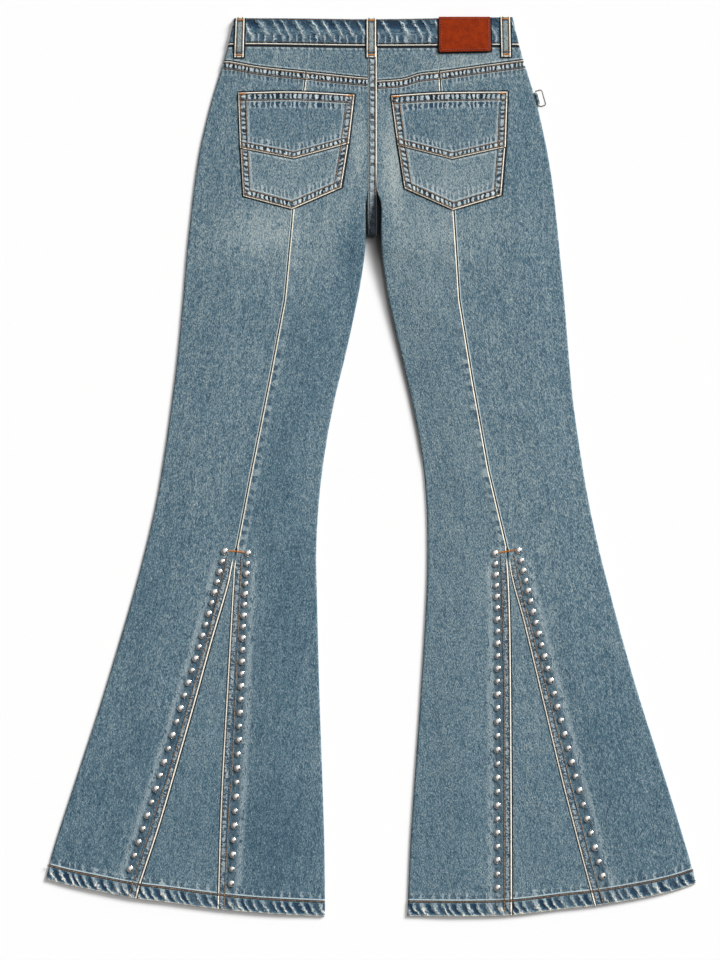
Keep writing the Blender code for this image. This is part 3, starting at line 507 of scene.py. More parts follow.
def lay_cloth(node, material, sides, lines, borders, down, between, wall,
              base=lie, flow=None, turned=False, seed=0, extra=None):
    """A cloth piece in the place of a node. borders are its left, right, top and bottom ones.

    material is one material, or an upper one, a lower one and the y where they meet.
    """
    x, y, side_ys, from_left, from_right = spread(
        sides, lines, down, borders[0].steps, borders[1].steps, between)
    from_top = np.maximum(0.0, (y - lines[0](x)) * UNIT / MM)
    from_bottom = np.maximum(0.0, (lines[1](x) - y) * UNIT / MM)
    runs = (side_ys[0][:, None] + 0.0 * x, side_ys[1][:, None] + 0.0 * x, x, x)
    amounts = [border.amount(run) for border, run in zip(borders, runs)]
    attributes = {}
    share, low, high, relief = 1.0, 0.0 * x, 0.0 * x, 0.0 * x
    distances = (from_left, from_right, from_top, from_bottom)
    for border, away, run, amount in zip(borders, distances, runs, amounts):
        beat = border.beat(run * UNIT / MM, away)
        if border.rolled:
            share = share * (1.0 - amount * (1.0 - rolled_share(away)))
        if border.lifts:
            rise = amount * np.interp(away, *zip(*border.lifts)) * MM
            low, high = np.minimum(low, rise), np.maximum(high, rise)
        for start, end, height in border.puckers:
            relief += amount * window(away, start, end) * height * MM * np.sin(2.0 * math.pi * beat)
        for at, depth in border.grooves:
            relief -= amount * depth * MM * np.exp(-(((away - at) / GROOVE_WIDTH) ** 2))
        other = attributes.get("from_" + border.role)
        if other is not None:
            beat = np.where(away < other, beat, attributes["beat_" + border.role])
            away = np.minimum(away, other)
        attributes["from_" + border.role] = away
        attributes["beat_" + border.role] = beat
    lift = np.where(low < 0.0, low, high)
    height = share * (base(x, y) + wall + relief) + lift
    points = np.stack([(x - SHEET_CENTRE_X) * UNIT, (SHEET_CENTRE_Y - y) * UNIT, height], axis=2)
    along = (x - (flow(y) if flow else SHEET_CENTRE_X)) * UNIT
    grain = (y * UNIT, along) if turned else (along, y * UNIT)
    attributes["grain"] = np.stack([*grain, 0.0 * x + GRAIN_SHIFT * seed], axis=2)
    attributes["fade"] = fade_at(x, y)
    for label, values in (extra(x, y) if extra else {}).items():
        attributes[label] = values
    thing = grid_object(node + "_cloth", points, attributes)
    upper, lower, limit = material if isinstance(material, tuple) else (material, None, None)
    thing.data.materials.append(upper)
    if lower:
        thing.data.materials.append(lower)
        for polygon in thing.data.polygons:
            polygon.material_index = int(polygon.center.y < (SHEET_CENTRE_Y - limit) * UNIT)
    shell = thing.modifiers.new("wall", "SOLIDIFY")
    shell.thickness = wall
    shell.offset = -1.0
    shell.use_rim = True
    if base is not front_level:
        surfaces.append(points)
    dress(thing, node)
    declare_cut(thing, x, y)
    return thing


def front_level(x, y):
    """The front lies straight on the table."""
    return 0.0 * x


def dress(thing, node, body="jeans"):
    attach(thing, body)
    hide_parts(node)


def declare_cut(thing, x, y):
    """Say what flat piece of cloth this is: its width, length and area."""
    width = (x.max() - x.min()) * UNIT
    length = (y.max() - y.min()) * UNIT
    step_x, down_x = np.diff(x[:-1], axis=1), np.diff(x[:, :-1], axis=0)
    step_y, down_y = np.diff(y[:-1], axis=1), np.diff(y[:, :-1], axis=0)
    area = float(np.abs(step_x * down_y - step_y * down_x).sum()) * UNIT**2
    area = min(area, width * length)
    print(f"{thing.name}: cut {width / MM:.0f} x {length / MM:.0f} mm, {area * 1e4:.0f} cm2")


# %% [markdown]
# ## Node tools
# The materials are built from nodes in code. Three small helpers keep that short: one puts a node with its
# values and links, one does arithmetic, and one mixes two colours.

# %% Put nodes
def tone(red, green, blue):
    """A colour seen as 0 to 255 on a screen, as the linear one that a shader takes."""
    seen = [value / 255.0 for value in (red, green, blue)]
    return (*(v / 12.92 if v <= 0.04045 else ((v + 0.055) / 1.055) ** 2.4 for v in seen), 1.0)


def put(tree, kind, inputs=None, **settings):
    """A new node. inputs maps a socket's name or number to a value or to another node's socket."""
    made = tree.nodes.new(kind)
    for key, value in settings.items():
        setattr(made, key, value)
    for key, value in (inputs or {}).items():
        if isinstance(value, bpy.types.NodeSocket):
            tree.links.new(value, made.inputs[key])
        else:
            made.inputs[key].default_value = value
    return made


def maths(tree, operation, *values, clamp=False):
    return put(tree, "ShaderNodeMath", dict(enumerate(values)), operation=operation,
               use_clamp=clamp).outputs[0]


def mixed(tree, factor, first, second):
    made = put(tree, "ShaderNodeMix", {0: factor, 6: first, 7: second}, data_type="RGBA")
    return made.outputs[2]


def ramp(tree, value, low, high, to_low=0.0, to_high=1.0):
    """A smooth step of a value between two limits."""
    return put(tree, "ShaderNodeMapRange", {0: value, 1: low, 2: high, 3: to_low, 4: to_high},
               interpolation_type="SMOOTHSTEP").outputs[0]


def attribute(tree, label, output="Fac"):
    return put(tree, "ShaderNodeAttribute", attribute_name=label).outputs[output]


def group(name, inputs, outputs):
    """An empty node group with its sockets: inputs are (label, kind, value), outputs (label, kind)."""
    tree = bpy.data.node_groups.new(name, "ShaderNodeTree")
    for label, kind, value in inputs:
        socket = tree.interface.new_socket(name=label, in_out="INPUT", socket_type="NodeSocket" + kind)
        if value is not None:
            socket.default_value = value
    for label, kind in outputs:
        tree.interface.new_socket(name=label, in_out="OUTPUT", socket_type="NodeSocket" + kind)
    return tree, tree.nodes.new("NodeGroupInput").outputs, tree.nodes.new("NodeGroupOutput").inputs


# %% [markdown]
# ## Washed twill
# Denim is a twill with indigo warp over a white weft. Washing leaves short squiggly flecks that follow the
# warp, soft long streaks, and cloudy patches. Noise stretched along the grain makes all three, at their
# real sizes. A faint diagonal wave, with a crest every 3 mm, moves the relief a little. The twill's own line
# is finer than that, and isn't drawn here.

# %% The twill group
twill, given, result = group(
    "washed twill",
    (("Grain", "Vector", None), ("Fade", "Float", 0.0), ("Contrast", "Float", 1.0)),
    (("Color", "Color"), ("Height", "Float"), ("Speckle", "Float"), ("Drift", "Float")),
)


def stretched_noise(across, along, detail, distortion):
    """Noise with cells of the given sizes in metres, across and along the grain."""
    scaled = put(twill, "ShaderNodeVectorMath",
                 {0: given["Grain"], 1: (1.0 / across, 1.0 / along, 1.0)}, operation="MULTIPLY").outputs[0]
    noise = {"Vector": scaled, "Scale": 1.0, "Detail": detail, "Roughness": 0.6, "Distortion": distortion}
    return put(twill, "ShaderNodeTexNoise", noise).outputs[0]


SQUIGGLE_TURNS = 2.6
FLECK_SHARE = 1.8
SQUIGGLE_SHARE = 0.09
STREAK_SHARE = 0.24
CLOUD_SHARE = 0.14
MIDDLE_SHADE = 0.44
FADE_SHARE = 0.42
flecks = stretched_noise(0.00085, 0.0022, 2.0, 0.6)
swirls = stretched_noise(0.0042, 0.0095, 2.0, 0.6)
streaks = stretched_noise(0.0045, 0.0700, 2.0, 0.3)
clouds = stretched_noise(0.0300, 0.0450, 3.0, 0.5)
drift = stretched_noise(0.0042, 0.0042, 1.0, 0.0)
squiggles = maths(twill, "SINE", maths(twill, "MULTIPLY", swirls, 2.0 * math.pi * SQUIGGLE_TURNS))
fleck_part = maths(twill, "MULTIPLY", maths(twill, "SUBTRACT", flecks, 0.5), FLECK_SHARE)
squiggle_part = maths(twill, "MULTIPLY", squiggles, SQUIGGLE_SHARE)
streak_part = maths(twill, "MULTIPLY", maths(twill, "SUBTRACT", streaks, 0.5), STREAK_SHARE)
cloud_part = maths(twill, "MULTIPLY", maths(twill, "SUBTRACT", clouds, 0.5), CLOUD_SHARE)
fine = maths(twill, "ADD", fleck_part, squiggle_part)
mottle = maths(twill, "ADD", fine, maths(twill, "ADD", streak_part, cloud_part))
shade = maths(twill, "ADD", maths(twill, "MULTIPLY", mottle, given["Contrast"]), MIDDLE_SHADE)
faded = maths(twill, "ADD", shade, maths(twill, "MULTIPLY", given["Fade"], FADE_SHARE))
blues = put(twill, "ShaderNodeValToRGB", {0: faded})
blues.color_ramp.elements[0].position = 0.0
blues.color_ramp.elements[0].color = tone(34, 58, 76)
blues.color_ramp.elements[1].position = 1.0
blues.color_ramp.elements[1].color = tone(172, 182, 180)
middle_blue = blues.color_ramp.elements.new(MIDDLE_SHADE)
middle_blue.color = tone(78, 107, 122)
twill_line = put(twill, "ShaderNodeTexWave",
                 {"Vector": given["Grain"], "Scale": 160.0, "Distortion": 0.6, "Detail": 1.0},
                 wave_type="BANDS", bands_direction="DIAGONAL").outputs[1]
weave = maths(twill, "ADD", maths(twill, "MULTIPLY", twill_line, 0.2), flecks)
weave = maths(twill, "ADD", weave, maths(twill, "MULTIPLY", squiggles, 0.35))
twill.links.new(blues.outputs[0], result["Color"])
twill.links.new(weave, result["Height"])
speckle = maths(twill, "ADD", maths(twill, "MULTIPLY", flecks, 0.4), maths(twill, "MULTIPLY", swirls, 0.6))
twill.links.new(speckle, result["Speckle"])
twill.links.new(drift, result["Drift"])
print("twill group nodes:", len(twill.nodes))

# %% [markdown]
# ## Worn bands and painted shade
# Everything that wear does beside a seam is a band: a strip at some distance from the edge, even or broken
# up by the beat of the puckers. Painted shade beside laps, outlines and studs and in the fork, and cream
# edges painted brighter as if lit, are bands too. One group draws any band, and each material lists the
# bands that its real piece shows. A rung of 1 keeps the crests of the puckers, and -1 keeps the valleys.

# %% The band group
STRIP_STARTS = 0.28
STRIP_STARTS_THIN = 1.9
STRIP_FULL = 0.78
STRIP_FULL_THIN = 0.62
LEAST_RUNG = 0.55
RUNG_SPREAD = 0.75
band, given, result = group(
    "wear and painted shade band",
    (("Distance", "Float", 0.0), ("Beat", "Float", 0.0), ("Speckle", "Float", 0.5), ("Drift", "Float", 0.5),
     ("From", "Float", 0.0), ("To", "Float", 1.0), ("Soft", "Float", 0.5), ("Rung", "Float", 0.0),
     ("Thin", "Float", 0.0), ("Bend", "Float", 0.9), ("Break", "Float", 0.5), ("Amount", "Float", 1.0)),
    (("Mask", "Float"),),
)
starts = ramp(band, given["Distance"], maths(band, "SUBTRACT", given["From"], given["Soft"]),
              maths(band, "ADD", given["From"], given["Soft"]))
ends = ramp(band, given["Distance"], maths(band, "SUBTRACT", given["To"], given["Soft"]),
            maths(band, "ADD", given["To"], given["Soft"]), 1.0, 0.0)
bend = maths(band, "MULTIPLY", maths(band, "SUBTRACT", given["Drift"], 0.5), given["Bend"])
bent = maths(band, "ADD", given["Beat"], bend)
wave = maths(band, "SINE", maths(band, "MULTIPLY", bent, 2.0 * math.pi))
swing = maths(band, "MULTIPLY", maths(band, "MULTIPLY", wave, given["Rung"]), 0.5)
strength = maths(band, "ABSOLUTE", given["Rung"])
rest = maths(band, "SUBTRACT", 1.0, maths(band, "MULTIPLY", strength, 0.5))
speck = maths(band, "MULTIPLY", maths(band, "SUBTRACT", given["Speckle"], 0.5), given["Break"])
sum_up = maths(band, "ADD", maths(band, "ADD", rest, swing), speck)
low = maths(band, "ADD", maths(band, "MULTIPLY", given["Thin"], STRIP_STARTS_THIN), STRIP_STARTS)
high = maths(band, "ADD", maths(band, "MULTIPLY", given["Thin"], STRIP_FULL_THIN), STRIP_FULL)
crisp = ramp(band, sum_up, low, high)
turn_of = maths(band, "FLOOR", maths(band, "ADD", bent, maths(band, "MULTIPLY", given["Rung"], 0.25)))
chance = put(band, "ShaderNodeTexWhiteNoise", {"W": turn_of}, noise_dimensions="1D").outputs[0]
varied = maths(band, "ADD", maths(band, "MULTIPLY", chance, RUNG_SPREAD), LEAST_RUNG)
evened = maths(band, "ADD", maths(band, "MULTIPLY", maths(band, "SUBTRACT", varied, 1.0), strength), 1.0)
strip_part = maths(band, "MULTIPLY", starts, ends)
worn_part = maths(band, "MULTIPLY", crisp, evened)
mask = maths(band, "MULTIPLY", strip_part, worn_part)
band.links.new(maths(band, "MULTIPLY", mask, given["Amount"], clamp=True), result["Mask"])
print("wear and painted shade band nodes:", len(band.nodes))

# %% A denim material from a list of bands
# An upward band stays off the face that is turned to the table: facing down is a rise of -1.
UPWARD_STARTS = -0.5
UPWARD_FULL = -0.1
# The brightest cream is a worn folded edge painted brighter, as if lit, where the edge turns away from the
# light.
BAND_COLOURS = {
    "ink": tone(32, 62, 86),
    "pale": tone(196, 208, 210),
    "cream": tone(242, 236, 222),
    "painted_lit_cream": tone(255, 247, 226),
    # The dark colour marks dark valleys and lines of worn seams, and is also painted shade beside laps and
    # outlines, along the studs and in the fork.
    "dark": tone(16, 24, 32),
}
BAND_HEIGHTS = {"ink": -0.9, "pale": 0.8, "cream": 0.5, "painted_lit_cream": 0.4, "dark": -1.0}
Band = collections.namedtuple("Band", "kind role start end soft rung broken amount by thin bend upward",
                              defaults=(None, 0.0, 0.9, False))


def denim(name, bands, contrast=1.0, shift=0.0, blue=(1.0, 1.0, 1.0)):
    """A washed denim. shift makes the whole piece paler or darker."""
    material = bpy.data.materials.new(name)
    material.use_nodes = True
    tree = material.node_tree
    shader = tree.nodes["Principled BSDF"]
    shader.inputs["Roughness"].default_value = 0.92
    shader.inputs["Specular IOR Level"].default_value = 0.25
    shader.inputs["Sheen Weight"].default_value = 0.08
    shader.inputs["Sheen Roughness"].default_value = 0.5
    cloth = put(tree, "ShaderNodeGroup", node_tree=twill)
    tree.links.new(attribute(tree, "grain", "Vector"), cloth.inputs["Grain"])
    tree.links.new(maths(tree, "ADD", attribute(tree, "fade"), shift), cloth.inputs["Fade"])
    cloth.inputs["Contrast"].default_value = contrast
    colour = put(tree, "ShaderNodeMix", {0: 1.0, 6: cloth.outputs["Color"], 7: (*blue, 1.0)},
                 data_type="RGBA", blend_type="MULTIPLY").outputs[2]
    height = maths(tree, "MULTIPLY", cloth.outputs["Height"], 0.45)
    masks = {}
    for row in bands:
        amount = row.amount
        if row.by:
            amount = maths(tree, "MULTIPLY", attribute(tree, row.by), row.amount)
        if row.upward:
            facing = put(tree, "ShaderNodeNewGeometry").outputs["True Normal"]
            rise = put(tree, "ShaderNodeSeparateXYZ", {"Vector": facing}).outputs["Z"]
            amount = maths(tree, "MULTIPLY", ramp(tree, rise, UPWARD_STARTS, UPWARD_FULL), amount)
        strip = put(tree, "ShaderNodeGroup", node_tree=band)
        for label, value in (
            ("Distance", attribute(tree, "from_" + row.role)),
            ("Beat", attribute(tree, "beat_" + row.role)),
            ("Speckle", cloth.outputs["Speckle"]), ("Drift", cloth.outputs["Drift"]), ("From", row.start),
            ("To", row.end), ("Soft", row.soft), ("Rung", row.rung), ("Thin", row.thin), ("Bend", row.bend),
            ("Break", row.broken), ("Amount", amount),
        ):
            if isinstance(value, bpy.types.NodeSocket):
                tree.links.new(value, strip.inputs[label])
            else:
                strip.inputs[label].default_value = value
        both = masks.get(row.kind)
        masks[row.kind] = maths(tree, "MAXIMUM", both, strip.outputs[0]) if both else strip.outputs[0]
    for kind in BAND_COLOURS:
        if kind in masks:
            colour = mixed(tree, masks[kind], colour, BAND_COLOURS[kind])
            height = maths(tree, "ADD", height, maths(tree, "MULTIPLY", masks[kind], BAND_HEIGHTS[kind]))
    bump = put(tree, "ShaderNodeBump", {"Strength": 1.0, "Distance": 0.0007, "Height": height})
    tree.links.new(colour, shader.inputs["Base Color"])
    tree.links.new(bump.outputs[0], shader.inputs["Normal"])
    return material


# %% [markdown]
# ## Where the wash has faded the cloth
# Hand sanding makes the seat and the thighs pale, and leaves the inside of the thighs and the flares dark.
# A few soft spots are enough: centre x and y, half sizes, how far the spot leans, and how pale it is.

# %% Faded zones
FADES.extend((
    (393, 172, 11, 58, 0.03, 0.85), (359, 152, 8, 36, 0.0, 0.62), (266, 230, 50, 26, -0.1, 0.42),
    (444, 232, 54, 28, 0.1, 0.24), (300, 254, 60, 46, 0.0, 0.16), (420, 250, 50, 44, 0.0, 0.12),
    (354, 248, 14, 60, 0.0, -0.42), (388, 226, 9, 26, 0.0, -0.3), (262, 66, 46, 14, 0.0, 0.04),
    (470, 66, 46, 14, 0.0, 0.32), (236, 570, 26, 34, 0.0, 0.16), (507, 570, 24, 34, 0.0, 0.16),
    (290, 420, 30, 170, -0.3, -0.14), (110, 800, 70, 130, -0.3, -0.24), (270, 820, 60, 130, 0.0, -0.26),
    (630, 800, 60, 130, 0.3, -0.2), (440, 840, 50, 120, 0.0, -0.1), (460, 420, 90, 120, 0.0, 0.06),
    (456, 182, 34, 24, 0.0, 0.26), (290, 182, 40, 22, 0.0, 0.08), (455, 118, 40, 20, 0.0, 0.06),
    (290, 610, 30, 90, 0.0, -0.30), (150, 600, 26, 70, -0.2, -0.16), (530, 160, 16, 60, 0.1, -0.12),
    (185, 850, 34, 60, -0.2, -0.14), (548, 850, 34, 60, 0.2, -0.16), (606, 700, 24, 60, 0.2, -0.1),
    (286, 480, 22, 70, 0.0, -0.08), (268, 58, 34, 12, 0.0, 0.12), (347, 204, 17, 30, 0.0, 0.34),
    (310, 370, 26, 60, 0.0, -0.08), (420, 300, 24, 40, 0.0, 0.1), (470, 58, 40, 14, 0.0, 0.12),
    (280, 850, 34, 50, 0.0, -0.2),
))
print("faded zones:", len(FADES))

# %% [markdown]
# ## The legs
# The back of each leg is an outer and an inner panel joined by a long seam, which opens below the knee
# into a triangular gusset. The panels lap over the yoke and over the gusset with a folded cream edge.

# %% Materials of the legs
YOKE_BANDS = (
    Band("cream", "yoke", -1.0, 0.9, 0.3, 0.3, 0.6, 0.8),
    Band("dark", "yoke", 0.9, 1.5, 0.3, -0.5, 0.6, 0.6),
    Band("ink", "yoke", 1.4, 8.8, 0.5, -0.9, 0.6, 0.9, thin=0.06),
    Band("pale", "yoke", 2.4, 7.2, 0.4, 0.9, 0.7, 0.95),
    Band("dark", "yoke", 2.2, 7.8, 0.4, -1.0, 0.5, 0.8, thin=0.2),
    Band("dark", "yoke", 8.8, 9.6, 0.3, -0.3, 0.6, 0.6),
    Band("pale", "yoke", 9.8, 11.0, 0.5, 0.5, 0.8, 0.6),
    Band("ink", "yoke", 11.2, 15.0, 1.2, -0.9, 0.9, 0.5),
    Band("pale", "yoke", 10.5, 17.5, 2.0, 1.0, 0.8, 0.34, thin=0.16),
)
HEM_BANDS = (
    # The foot of the hem is cream painted brighter, as if lit.
    Band("painted_lit_cream", "hem", -1.0, 1.0, 0.4, 0.5, 0.7, 0.8),
    Band("ink", "hem", 2.2, 15.2, 1.6, -1.0, 1.5, 1.0, bend=0.5),
    Band("dark", "hem", 4.0, 13.0, 2.5, -1.0, 1.5, 0.35, thin=0.25, bend=0.5),
    Band("pale", "hem", 0.6, 15.5, 2.5, 1.0, 1.0, 0.4, thin=0.2, bend=0.7),
    Band("cream", "hem", -1.0, 10.0, 2.4, 1.0, 0.6, 0.95, thin=0.355, bend=0.7),
    Band("dark", "hem", 16.0, 18.9, 0.5, -0.3, 0.6, 0.7),
    Band("pale", "hem", 19.0, 20.6, 0.6, 0.3, 0.7, 0.7),
    Band("ink", "hem", 20.8, 25.0, 1.5, -0.8, 1.0, 0.42),
    Band("pale", "hem", 20.0, 28.0, 2.5, 1.0, 0.6, 0.4, thin=0.27, bend=0.8),
)
LONG_SEAM_BANDS = (
    # The folded edge of the long seam is cream painted brighter, as if lit.
    Band("painted_lit_cream", "seam", -1.0, 1.35, 0.25, 0.0, 0.3, 0.85, "by_seam"),
    Band("ink", "seam", 1.4, 6.5, 2.2, -0.9, 2.2, 0.62, "by_puckers"),
    Band("pale", "seam", 1.6, 9.5, 3.0, 0.9, 1.8, 0.24, "by_puckers"),
)
GUSSET_SEAM_BANDS = (
    Band("cream", "seam", -1.0, 1.5, 0.3, 0.1, 0.3, 0.95, "by_gusset"),
    Band("dark", "seam", 1.7, 3.0, 0.4, -0.7, 0.9, 0.85, "by_gusset"),
    Band("ink", "seam", 3.0, 9.4, 0.9, -0.5, 3.4, 0.75, "by_gusset", 0.08, 2.4),
    Band("pale", "seam", 2.9, 7.4, 0.8, 0.5, 3.4, 0.5, "by_gusset", 0.17, 2.4),
    Band("ink", "studs", -6.5, 4.6, 1.6, 0.0, 3.2, 0.32, "by_gusset", 0.3),
    # Painted shade along the row of studs.
    Band("dark", "studs", -4.4, 2.6, 0.7, 0.0, 2.6, 0.3, "by_gusset", 0.38),
    Band("pale", "studs", 5.0, 12.0, 3.0, 0.0, 2.6, 0.26, "by_gusset", 0.28),
)
OUTER_SEAM_BANDS = (
    # Painted shadow on the outer panel under the folded edge of the inner panel.
    Band("dark", "seam", -1.0, 1.1, 0.3, 0.0, 0.2, 0.95, "by_seam"),
    Band("pale", "seam", 1.3, 2.5, 0.35, 0.2, 0.8, 0.75, "by_seam"),
)
CHANGE_AT = 556.0
# Painted shade on the panels along the outlines of the pockets, the belt loops and the patch.
OUTLINE_SHADE = (Band("dark", "piece", -1.0, 1.9, 0.6, 0.0, 0.3, 0.95),)
# Painted shade on the inner edges of the legs in the fork.
FORK_EDGE_SHADE = (Band("dark", "side", -1.0, 1.0, 0.5, 0.0, 0.3, 0.95, "by_fork"),)
denim_lower = denim("denim_leg_below_knee", HEM_BANDS + GUSSET_SEAM_BANDS)
inner_upper = denim("denim_inner_leg", YOKE_BANDS + LONG_SEAM_BANDS + OUTLINE_SHADE + FORK_EDGE_SHADE)
outer_upper = denim("denim_outer_leg", YOKE_BANDS + OUTER_SEAM_BANDS + OUTLINE_SHADE)
denim_inner = (inner_upper, denim_lower, CHANGE_AT)
denim_outer = (outer_upper, denim_lower, CHANGE_AT)
denim_gusset = denim("denim_gusset_panel", HEM_BANDS + (
    # Painted shadow on the gusset under the folded edges of the panels that lap over it.
    Band("dark", "lap_left", -1.0, 1.2, 0.4, 0.0, 0.2, 0.9),
    Band("dark", "lap_right", -1.0, 1.2, 0.4, 0.0, 0.2, 0.9),
), shift=0.07)
print("bands below the knee:", len(HEM_BANDS + GUSSET_SEAM_BANDS))

# %% Painted shade on the panels along the outline of what lies on them
def outline(left, right, top, bottom, samples=14):
    """Points round a piece, from its two sides and its two cross lines."""
    share = np.linspace(0.0, 1.0, samples)
    corners = [meeting(side, across, start) for across, start in ((top, 90.0), (bottom, 190.0))
               for side in (left, right)]
    top_x = corners[0][0] + share * (corners[1][0] - corners[0][0])
    foot_x = corners[3][0] + share * (corners[2][0] - corners[3][0])
    right_y = corners[1][1] + share * (corners[3][1] - corners[1][1])
    left_y = corners[2][1] + share * (corners[0][1] - corners[2][1])
    xs = np.concatenate([top_x, right(right_y), foot_x, left(left_y)])
    ys = np.concatenate([top(top_x), right_y, bottom(foot_x), left_y])
    return xs, ys


outlines = [outline(kinked(table, 1), kinked(table, 2), line(mouth), kinked(end)) for table, mouth, end in (
    (POCKET_SIDES_LEFT, POCKET_MOUTH_LEFT, POCKET_END_LEFT),
    (POCKET_SIDES_RIGHT, POCKET_MOUTH_RIGHT, POCKET_END_RIGHT),
)]
outlines += [outline(kinked(table, 1), kinked(table, 2), steady(table[0][0]), steady(table[-1][0]), 2)
             for _, table in BELT_LOOPS]
outlines.append(outline(kinked(PATCH_SIDES, 1), kinked(PATCH_SIDES, 2), steady(PATCH_SIDES[0][0]),
                        kinked(PATCH_FOOT), 4))
FAR_FROM_PIECES = 30.0
print("outlines:", len(outlines))


def shade_beside_pieces(x, y):
    """Distance in mm from the outlines of the pockets, belt loops and patch, where shade is painted."""
    nearest = np.full(x.shape, FAR_FROM_PIECES)
    for xs, ys in outlines:
        for start_x, start_y, end_x, end_y in zip(xs, ys, xs[1:], ys[1:]):
            run_x, run_y = end_x - start_x, end_y - start_y
            length = max(run_x**2 + run_y**2, 1e-9)
            share = np.clip(((x - start_x) * run_x + (y - start_y) * run_y) / length, 0.0, 1.0)
            away = np.hypot(x - start_x - share * run_x, y - start_y - share * run_y) * UNIT / MM
            nearest = np.minimum(nearest, away)
    return {"from_piece": nearest, "beat_piece": 0.0 * x}


# %% Borders of the legs
HEM_BAND = 17.5
HEM_TWIST = 9.0
UNDER_POCKET_FROM = 84.0
UNDER_POCKET_TO = 224.0
FORK_IN_SHADE = 0.45


def beside_pocket(y):
    """Full above the pockets and below them, and nothing under them."""
    return 1.0 - eased((y - UNDER_POCKET_FROM) / 6.0) * eased((UNDER_POCKET_TO - y) / 8.0)


def beside_gusset(y):
    """Nothing above the point of the gusset and full below it."""
    return eased((y - GUSSET_POINT + 14.0) / 14.0)


def beside_fork(y):
    """Nothing along the seat seam, about half in the fork and full down the leg."""
    in_the_fork = FORK_IN_SHADE * eased((y - FORK_TOP + 4.0) / 10.0)
    return in_the_fork + (1.0 - FORK_IN_SHADE) * eased((y - CROTCH) / 4.0)


def hem_bend(away):
    """The rope-like twist of a hem: its puckers stand straight at the stitch and bend over at the foot."""
    return -HEM_TWIST * np.clip(1.0 - away / HEM_BAND, 0.0, 1.0) ** 2


seam_beat = graded_beat(((46, 26), (300, 24), (370, 12), (550, 10), (566, 4.6), (916, 5.4)), 3)
rolled = Border("side", ROLL_STEPS, rolled=True)
fork = Border("side", ROLL_STEPS, rolled=True, amount=beside_fork)
yoke_lap = Border("yoke", (), LAP_LIFTS, beat=even_beat(5.2, 7), puckers=((2.5, 8.0, 0.10),),
                  grooves=((1.7, 0.12), (8.6, 0.2)))
hem_fold = Border("hem", (), HEM_LIFTS, beat=even_beat(11.4, 11, hem_bend), puckers=((2.0, 16.5, 0.2),),
                  grooves=((HEM_BAND, 0.25),))
seam_lap = Border("seam", SEAM_STEPS, LAP_LIFTS, amount=beside_pocket, beat=seam_beat,
                  puckers=((2.5, 9.0, 0.07),), grooves=((2.5, 0.1), (7.6, 0.1)))
point_lap = seam_lap._replace(amount=beside_gusset)
gusset_sides = [Border(role, BUTT_STEPS, BUTT_LIFTS) for role in ("lap_left", "lap_right")]

# %% Build the legs
LEG_DOWN = graded((78.4, 79.2, 0.2), (79.2, 96, 0.9), (96, 240, 2.6), (240, 548, 2.6), (548, 890, 2.1),
                  (890, 915.2, 1.2), (915.2, 916, 0.2))
SEAM_FOOT = GUSSET_LEFT[0][0]
gusset_lines = [line(table, column) for table, column in
                ((GUSSET_LEFT, 1), (GUSSET_LEFT, 2), (GUSSET_RIGHT, 2), (GUSSET_RIGHT, 1))]
stud_lines = [line([(y, x) for _, x, y in table]) for table in
              (STUDS_LEFT_OUTER, STUDS_LEFT_INNER, STUDS_RIGHT_INNER, STUDS_RIGHT_OUTER)]


def split(column, gusset):
    """The long seam, and the side of the gusset below it."""
    seam = kinked(LONG_SEAMS, column)
    return lambda y: np.where(np.asarray(y, float) < SEAM_FOOT, seam(y), gusset(y))


def inner_side(edge, seat):
    return lambda y: np.where(np.asarray(y, float) > INNER_EDGES[0][0], edge(y), seat)


def leg_flow(column, inner):
    """The middle of a leg, which the warp follows."""
    side = left_side if column == 1 else right_side

    def flow(y):
        below = np.maximum(y, CROTCH + CROTCH_RUN)
        return 0.5 * (side(below) + inner(below))

    return flow


STUD_SLANT = 0.97
FORK_SHADE_FROM = 192.0
FORK_SHADE_TO = 246.0


def by_seam(studs, outwards):
    """How much of each wear and of the painted shade in the fork a place has,
    and its distance outwards from the row of studs.
    """
    def extra(x, y):
        seam = eased((CHANGE_AT - 1.0 - y) / 6.0)
        return {
            "by_gusset": eased((y - CHANGE_AT - 1.0) / 8.0),
            "by_seam": seam,
            "by_puckers": seam * (0.35 + 0.65 * eased((y - 320.0) / 50.0)),
            "from_studs": outwards * (x - studs(y)) * UNIT / MM * STUD_SLANT,
            "beat_studs": 0.0 * x,
            "by_fork": eased((y - FORK_SHADE_FROM) / 14.0) * eased((FORK_SHADE_TO - y) / 8.0),
            **shade_beside_pieces(x, y),
        }

    return extra


side_1 = inner_side(left_inner, SEAT_LEFT)
side_2 = inner_side(right_inner, SEAT_RIGHT)
splits = [split(column, gusset) for column, gusset in zip((1, 1, 2, 2), gusset_lines)]
lines_left = (yoke_left, hem_left)
lines_right = (yoke_right, hem_right)
flow_left = leg_flow(1, left_inner)
flow_right = leg_flow(2, right_inner)
for node, sides, lines, ends, flow, studs, outwards, material, seed in (
    ("leg_outer_left", (left_side, moved(splits[0], -HALF_GAP)), lines_left, (rolled, point_lap), flow_left,
     stud_lines[0], -1.0, denim_outer, 1),
    ("leg_inner_left", (moved(splits[1], HALF_GAP), side_1), lines_left, (seam_lap, fork), flow_left,
     stud_lines[1], 1.0, denim_inner, 2),
    ("leg_inner_right", (side_2, moved(splits[2], -HALF_GAP)), lines_right, (fork, seam_lap), flow_right,
     stud_lines[2], -1.0, denim_inner, 3),
    ("leg_outer_right", (moved(splits[3], HALF_GAP), right_side), lines_right, (point_lap, rolled),
     flow_right, stud_lines[3], 1.0, denim_outer, 4),
):
    lay_cloth(node, material, sides, lines, (*ends, yoke_lap, hem_fold), LEG_DOWN, 38, DENIM,
              flow=flow, seed=seed, extra=by_seam(studs, outwards))

